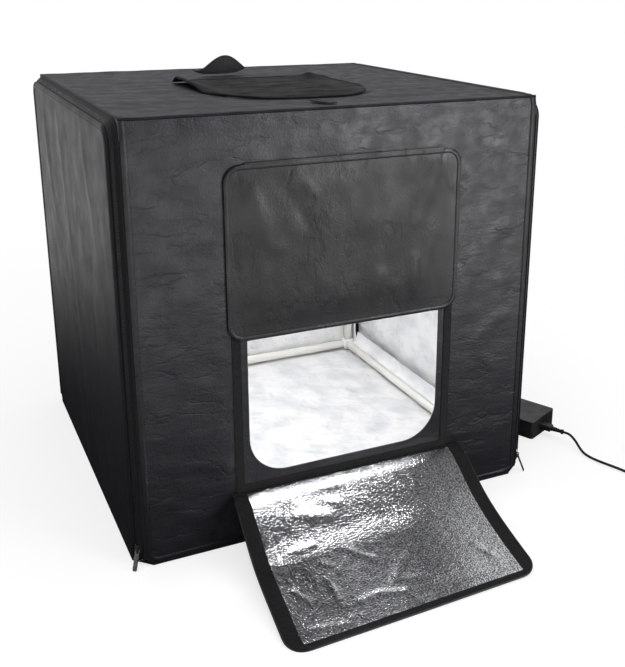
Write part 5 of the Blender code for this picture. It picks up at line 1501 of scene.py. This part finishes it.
# Hook patch: a short piece of hook tape that holds the flap shut. It is sewn to the top in front of the
# flap, with one row close inside its edge.
patch_low, patch_high = map(Vector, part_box("top_hook_patch"))
PATCH = (0.042, 0.013)
PATCH_TURN = math.radians(-72)
PATCH_ROW_IN = 0.0015
patch_spot = ((patch_low + patch_high) / 2).to_2d()
patch_place = Matrix.Translation((*patch_spot, patch_high.z)) @ Matrix.Rotation(PATCH_TURN, 4, "Z")
shape = cut_cloth(rectangle(-PATCH[0] / 2, PATCH[0] / 2, -PATCH[1] / 2, PATCH[1] / 2, 0.0015), [], 0.003)
mould(shape, patch_place, lambda x, y: 0.00015 * clouds(x, y, 0.006, 91))
patch = piece("roof_hook_patch", thicken(shape, patch_high.z - patch_low.z), webbing("hook_tape", 0.0005),
              "tent", ["top_hook_patch"], 50)
patch_rows = bmesh.new()
points = rectangle(-PATCH[0] / 2 + PATCH_ROW_IN, PATCH[0] / 2 - PATCH_ROW_IN, -PATCH[1] / 2 + PATCH_ROW_IN,
                   PATCH[1] / 2 - PATCH_ROW_IN, 0.001)
stitches(patch_rows, line_on(points, patch_place, lambda x, y: 0, True, 0.003), True, pitch=0.0028)
piece("roof_patch_stitches", patch_rows, thread, "tent", [])

# Side panels: shell cloth outside and silver cloth inside, zipped in all round but along the floor, where
# they are sewn to the base and fold down. The pull of the zip leaves long upright folds in them.
SIDE_DARK = (0.0100, 0.0100, 0.0125)
SIDE_LIGHT = (0.0170, 0.0170, 0.0220)
SIDE_CORNER = 0.0193
SIDE_HEM_WIDE = 0.0070
SIDE_HEM_HIGH = 0.0008
SIDE_HEM_ROWS = 0.30
SIDE_SEAM_STEPS = 59
BASE_SEAM = ((-0.0085, -0.0001), (0.0003, 0.0003), (0.0006, 0.0030), (0.0005, 0.0100))
SILVER_SLACK = 0.0006
side_cloth = leather("side_leathercloth", SIDE_DARK, SIDE_LIGHT, 0.40, 0.15, 0.00012, (1.0, 0.9, 0.6), 0.0004,
                     0.5, 0.040)
side_bodies = {"left": "left_side", "right": "right_side"}


def side_lift(reach, low, high, word):
    """Long soft folds from the upper back corner down to the floor, on a panel that is taut at its zip."""
    seed = 101 if word == "left" else 113
    turn = 1 if word == "left" else -1

    def lift(x, z):
        edge = rise(reach - abs(x), 0, 0.06) * rise(high - z, 0, 0.07) * rise(z - low, 0, 0.05)
        lean = turn * x + 0.10 * (z - low)
        long_fold = creases(lean, z * 0.22, 0.150, seed)
        long_fold -= 0.5 * creases(lean * 1.3, z * 0.30, 0.120, seed + 5)
        soft = 0.5 * clouds(x, z * 0.6, 0.13, seed + 2) + 0.15 * clouds(x, z, 0.06, seed + 3)
        return 0.0028 * edge * (soft + 0.7 * long_fold) + 0.0006 * edge

    return lift


for word, facing in (("left", FACING_LEFT), ("right", FACING_RIGHT)):
    low, high = map(Vector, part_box(word + "_side_panel"))
    outer = low.x if word == "left" else high.x
    place = Matrix.Translation((outer, 0, 0)) @ facing
    lift = side_lift(high.y, low.z, high.z, word)
    edge = upright(high.y, low.z, high.z, SIDE_CORNER)
    shape = cut_cloth(edge, [], CLOTH_CELL)
    area = area_of(shape)
    cover = piece(word + "_side_leathercloth", thicken(mould(shape, place, lift), SKIN), side_cloth,
                  side_bodies[word], [word + "_side_panel"], 50)
    inner_low, inner_high = map(Vector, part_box(word + "_side_lining"))
    shape = cut_cloth(upright(inner_high.y, inner_low.z, inner_high.z, SIDE_CORNER), [], LINING_CELL)
    area = area_of(shape)
    face_x = inner_low.x if word == "left" else inner_high.x

    def silver_lie(x, z):
        """The lining lies behind the cloth's folds, and hangs a little slack of its own."""
        slack = SILVER_SLACK * rise(inner_high.y - abs(x), 0, 0.04) * (1 + clouds(x, z, 0.07, 7))
        return min(lift(x, z), 0) - slack

    mould(shape, Matrix.Translation((face_x, 0, 0)) @ facing, silver_lie)
    back = piece(word + "_side_silver", thicken(shape, inner_high.x - inner_low.x), silver, side_bodies[word],
                 [word + "_side_lining"], 50)
    inset = SIDE_HEM_WIDE / 2 + 0.0004
    around = outline(
        (high.y - inset, low.z + CORNER_CUT + HEM_OVER_CUT, 0),
        (high.y - inset, high.z - inset, SIDE_CORNER - inset),
        (-high.y + inset, high.z - inset, SIDE_CORNER - inset),
        (-high.y + inset, low.z + CORNER_CUT + HEM_OVER_CUT, 0),
    )
    route = line_on(around, place, lift)
    hem = bmesh.new()
    add(hem, strip(route, folded(SIDE_HEM_WIDE, SIDE_HEM_HIGH, -CLOTH_SUNK)))
    piece(word + "_side_hem", hem, side_cloth, side_bodies[word], [], 50)
    rows = bmesh.new()
    for shift in (-SIDE_HEM_WIDE * SIDE_HEM_ROWS, SIDE_HEM_WIDE * SIDE_HEM_ROWS):
        stitches(rows, route, False, shift=shift, stand=SIDE_HEM_HIGH - THREAD_SUNK)
    piece(word + "_side_stitches", rows, thread, side_bodies[word], [])
    seam = bmesh.new()
    turn = -1 if word == "left" else 1
    rows = []
    for step in range(SIDE_SEAM_STEPS + 1):
        y = (-1 + 2 * step / SIDE_SEAM_STEPS) * (high.y - CORNER_CUT)
        rows.append([seam.verts.new((outer + turn * across, y, up)) for across, up in BASE_SEAM])
    join_rows(seam, rows)
    seam_piece = piece(word + "_base_seam", thicken(seam, 0.0004), side_cloth, "", [], 60)
    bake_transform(seam_piece)

# Zips: black woven tapes, one half sewn to the shell and one to the side panel, each with a row of moulded
# teeth that meet in the middle. They run up the front, over the top and down the back of each side opening.
TAPE_THICK = 0.0008
TAPE_GAP = 0.00005
ZIP_REACH = 0.009
ZIP_CORNER = 0.026
TOOTH_PITCH = 0.0018
TOOTH = (0.0030, 0.0011, 0.0019)
TOOTH_HEAD = 0.0006
TOOTH_SHARES = ((0.8, 0.8), (0.55, 1.0), (0.9, 0.8))
TAPE_ROW_IN = 0.0022
PIPING = 0.0012
TAPE_SECTION = (
    (TAPE_GAP, -TAPE_THICK / 2), (ZIP_REACH, -TAPE_THICK / 2), (ZIP_REACH, TAPE_THICK / 2),
    (0.0042, TAPE_THICK / 2), (0.0030, TAPE_THICK / 2 + 0.0003), (TAPE_GAP, TAPE_THICK / 2),
)
SIDE_LAP = (
    (0.0050, 0.0011), (0.0052, 0.0017), (0.0060, 0.0022), (0.0082, 0.0019),
    (0.0100, 0.0012), (0.0104, 0.0002), (0.0080, 0.0005),
)
DIAGONAL = math.sqrt(0.5)
tape_black = webbing("zip_tape", 0.0, 0.65, 0.35)
tooth_black, tree, shader = finish("zip_teeth", (0.020, 0.020, 0.021), 0.45)
relief(tree, shader, (grain(tree, 0.002, 2), 0.00008))
polish(tree, shader, grain(tree, 0.01), 0.26, 0.45)
zip_inset = (ZIP_REACH + TAPE_THICK / 2) * DIAGONAL
zip_x = shell_x + 0.0003 + zip_inset
zip_y = -front_y - zip_inset
zip_top = top_z - zip_inset


def zip_line(front_end, back_end, side):
    """Along the teeth: for each point its place, the way to the shell across the tape, and the way out."""
    corners = outline((-zip_y, 0, 0), (-zip_y, zip_top, ZIP_CORNER), (zip_y, zip_top, ZIP_CORNER),
                      (zip_y, 0, 0), steps=14)
    flat = even([(-zip_y, front_end), *corners[1:-1], (zip_y, back_end)], 0.010)
    route = []
    for index, spot in enumerate(flat):
        before, after = flat[max(index - 1, 0)], flat[min(index + 1, len(flat) - 1)]
        along = (after - before).normalized()
        outward = Vector((0, -along.y, along.x))
        to_shell = (outward + Vector((-side, 0, 0))).normalized()
        out = (outward + Vector((side, 0, 0))).normalized()
        route.append((Vector((side * zip_x, spot.x, spot.y)), to_shell, out))
    return route


for word, side in (("left", -1), ("right", 1)):
    for half, way, body in (("shell", 1, "tent"), ("side", -1, side_bodies[word])):
        node = f"{word}_zip_tape_{half}"
        tape_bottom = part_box(f"{word}_zip_tape_shell")[0].z
        slider_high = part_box(f"{word}_zip_slider")[1].z
        start = tape_bottom if half == "shell" else slider_high + 0.0003
        route = zip_line(start, tape_bottom, side)
        tape = strip(route, [(way * u, w) for u, w in TAPE_SECTION])
        piece(f"{word}_zip_{half}_tape", tape, tape_black, body, [node], 50)
        if half == "shell":
            section = rounded(PIPING, PIPING, 8, across=way * (ZIP_REACH + 0.0002))
            piece(f"{word}_zip_piping", strip(route, section), tape_black, body, [], 80)
        else:
            section = [(way * u, w) for u, w in SIDE_LAP]
            piece(f"{word}_side_lap", strip(route, section), side_cloth, body, [], 60)
        teeth = bmesh.new()
        spots = [spot for spot, _, _ in route]
        gone, want = 0.0, TOOTH_PITCH / 2 + (0 if way > 0 else TOOTH_PITCH / 2)
        for index, (here, after) in enumerate(zip(spots, spots[1:])):
            step = (after - here).length
            along = (after - here).normalized()
            _, to_shell, out = route[index]
            while want <= gone + step:
                middle = here.lerp(after, (want - gone) / step)
                across = to_shell * way
                root, tip = middle + across * (TOOTH[0] - TOOTH_HEAD), middle - across * TOOTH_HEAD
                neck = middle + across * TOOTH_HEAD
                corners = []
                for spot, (wide_share, tall_share) in zip((root, neck, tip), TOOTH_SHARES):
                    wide, tall = TOOTH[1] * wide_share, TOOTH[2] * tall_share
                    corners.append([
                        teeth.verts.new(spot + along * wide / 2 * a + out * tall / 2 * b)
                        for a, b in ((-1, -1), (1, -1), (1, 1), (-1, 1))
                    ])
                for lower, upper in zip(corners, corners[1:]):
                    for k in range(4):
                        teeth.faces.new((lower[k], lower[(k + 1) % 4], upper[(k + 1) % 4], upper[k]))
                teeth.faces.new(corners[0])
                teeth.faces.new(corners[-1])
                want += TOOTH_PITCH
            gone += step
        piece(f"{word}_zip_{half}_teeth", teeth, tooth_black, body, [], 25)
        rows = bmesh.new()
        stitches(rows, route, False, shift=way * (ZIP_REACH - TAPE_ROW_IN), stand=TAPE_THICK / 2)
        piece(f"{word}_zip_{half}_stitches", rows, thread, body, [])

# Sliders and pulls: die-cast sliders with a dark finish, and flat nickel-plated pulls whose tips rest on the
# table.
slider_metal, tree, shader = finish("slider_metal", (0.16, 0.16, 0.165), 0.38, 0.9)
polish(tree, shader, grain(tree, 0.002), 0.28, 0.50)
relief(tree, shader, (grain(tree, 0.001, 3), 0.00006))
pull_metal, tree, shader = finish("pull_metal", (0.50, 0.50, 0.51), 0.30, 1.0)
shades(tree, shader, grain(tree, 0.008, 4), (0.30, 0.30, 0.31), (0.56, 0.56, 0.57), 0.35, 0.6)
polish(tree, shader, grain(tree, 0.003), 0.22, 0.42)
relief(tree, shader, (grain(tree, 0.001, 3), 0.00004))


def dress(node, material, width=0.0, steps=2, angle=30):
    """Gives a CAD node its material, with its split faces welded and its edges rounded."""
    obj = nodes[node]
    for material_slot in obj.material_slots:
        material_slot.material = material
    if width:
        weld = obj.modifiers.new("weld", "WELD")
        weld.merge_threshold = 0.00002
        edge = obj.modifiers.new("round_edges", "BEVEL")
        edge.width = width
        edge.segments = steps
        edge.limit_method = "ANGLE"
        edge.angle_limit = math.radians(angle)
        edge.harden_normals = False
        edge.use_clamp_overlap = True
    return obj


for word in ("left", "right"):
    dress(word + "_zip_slider", slider_metal, 0.0002)
    dress(word + "_zip_pull", pull_metal, 0.0002)

# Light bars: two finned aluminium channels, 540 mm long, hung by their end hooks from the upper side tubes,
# each with a white board of lamp chips on its underside.
bar_aluminium, tree, shader = finish("bar_aluminium", (0.62, 0.63, 0.64), 0.34, 1.0)
polish(tree, shader, grain(tree, 0.004, 3, (0.04, 1, 1)), 0.26, 0.44)
relief(tree, shader, (grain(tree, 0.0008, 2, (0.02, 1, 1)), 0.00003))
board_white, tree, shader = finish("board_white", (0.78, 0.78, 0.76), 0.40)
polish(tree, shader, grain(tree, 0.01), 0.34, 0.48)
relief(tree, shader, (grain(tree, 0.003, 2), 0.00003))
chip_glow, tree, shader = finish("chip_glow", (0.90, 0.85, 0.55), 0.45)
shades(tree, shader, grain(tree, 0.002), (0.85, 0.78, 0.45), (0.95, 0.90, 0.65))
shader.inputs["Emission Color"].default_value = (1.0, 0.97, 0.92, 1)
shader.inputs["Emission Strength"].default_value = 4.0
CHIPS = 18
CHIP_END = 0.012
CHIP = 0.005
BOARD_THICK = 0.0016
RESISTOR = (0.0020, 0.0012, 0.0006)
BAR_LIGHT = 1.2
for word in ("front", "back"):
    dress(word + "_light_housing", bar_aluminium, 0.0003)
    low, high = map(Vector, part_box(word + "_light_board"))
    body = word + "_light"
    middle = (low + high) / 2
    board_under = high.z - BOARD_THICK
    board = block((high.x - low.x, high.y - low.y, high.z - board_under), 0.0002, 1,
                  Matrix.Translation((middle.x, middle.y, (high.z + board_under) / 2)))
    glow = bmesh.new()
    for chip in range(CHIPS):
        x = low.x + CHIP_END + (high.x - low.x - 2 * CHIP_END) * chip / (CHIPS - 1)
        chip_place = Matrix.Translation((x, middle.y, board_under - 0.0005))
        resistor_place = Matrix.Translation((x + CHIP * 1.6, middle.y + 0.005, board_under - 0.0002))
        glow_place = Matrix.Translation((x, middle.y, board_under - 0.0011))
        add(board, block((CHIP, CHIP, 0.0012), 0.0003, 1, chip_place))
        add(board, block(RESISTOR, 0.0001, 1, resistor_place))
        add(glow, block((CHIP * 0.72, CHIP * 0.72, 0.0003), 0.0001, 1, glow_place))
    piece(word + "_lamp_board", board, board_white, body, [word + "_light_board"], 40)
    piece(word + "_lamp_chips", glow, chip_glow, body, [], 40)
    lamp = bpy.data.lights.new(word + "_bar_light", "AREA")
    lamp.shape = "RECTANGLE"
    lamp.size, lamp.size_y = high.x - low.x, high.y - low.y
    lamp.energy = BAR_LIGHT
    lamp_obj = bpy.data.objects.new(word + "_bar_light", lamp)
    lamp_obj.location = (middle.x, middle.y, low.z - 0.003)
    scene.collection.objects.link(lamp_obj)
    lamp_obj.parent = frame["bodies"][body]
    lamp_obj.matrix_parent_inverse = frame["bodies"][body].matrix_world.inverted()

# Mains adapter: a black moulded case in two halves, with air slots in both ends, standing beside the tent.
# Its circuit board lies inside, in the lower half.
case_black, tree, shader = finish("adapter_case", (0.020, 0.020, 0.021), 0.46)
shades(tree, shader, grain(tree, 0.030, 4), (0.013, 0.013, 0.014), (0.028, 0.028, 0.029))
polish(tree, shader, grain(tree, 0.02), 0.40, 0.56)
relief(tree, shader, (grain(tree, 0.0011, 2), 0.00012))
dress("adapter_cover", case_black, 0.0004)
dress("adapter_tray", case_black, 0.0004)
circuit_green, tree, shader = finish("circuit_board", (0.02, 0.10, 0.04), 0.40)
shades(tree, shader, grain(tree, 0.004, 2, cells=True), (0.012, 0.07, 0.03), (0.03, 0.14, 0.06))
relief(tree, shader, (grain(tree, 0.003, 2), 0.0001))
dress("adapter_circuit", circuit_green, 0.0002)

# Mains connector and plug: soft black mouldings on the ends of the lead, with ribbed sleeves. The pins are
# nickel.
moulded, tree, shader = finish("moulded_rubber", (0.016, 0.016, 0.017), 0.50)
shades(tree, shader, grain(tree, 0.012, 4), (0.011, 0.011, 0.012), (0.022, 0.022, 0.023))
polish(tree, shader, grain(tree, 0.01), 0.42, 0.60)
relief(tree, shader, (grain(tree, 0.0009, 3), 0.00008))
dress("mains_connector", moulded, 0.0003)
dress("mains_plug", moulded, 0.0004)

# Coil tie: a band of hook-and-loop tape round all the turns of the lead's coil, pulled close and pressed shut
# on itself.
tie_low, tie_high = map(Vector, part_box("cord_tie"))
TIE_TURN = math.radians(275)
TIE_WIDE = 0.006
TIE_WALL = 0.0007
TIE_LOOSE = 0.0003
tie_inner = COIL_OUTER - COIL_PITCH * COIL_TURNS - CORD_DIAMETER / 2 - TIE_LOOSE
tie_outer = COIL_OUTER + CORD_DIAMETER / 2 + TIE_LOOSE
tie_place = Matrix.Translation((COIL_AT[0], COIL_AT[1], 0)) @ Matrix.Rotation(TIE_TURN, 4, "Z") @ FACING_FRONT
loop = rectangle(tie_inner - TIE_WALL / 2, tie_outer + TIE_WALL / 2, tie_low.z + TIE_WALL / 2,
                 tie_high.z - TIE_WALL / 2, 0.0034)
route = []
for index, point in enumerate(loop):
    before, after = loop[index - 1], loop[(index + 1) % len(loop)]
    along = (after - before).normalized()
    out = Vector((along.y, -along.x, 0))
    turn = tie_place.to_3x3()
    route.append((tie_place @ point.to_3d(), turn @ Vector((0, 0, 1)), turn @ out))
piece("coil_tie_band", strip(route, folded(TIE_WIDE, TIE_WALL / 2, -TIE_WALL / 2), True), loop_tape, "tent",
      ["cord_tie"], 50)
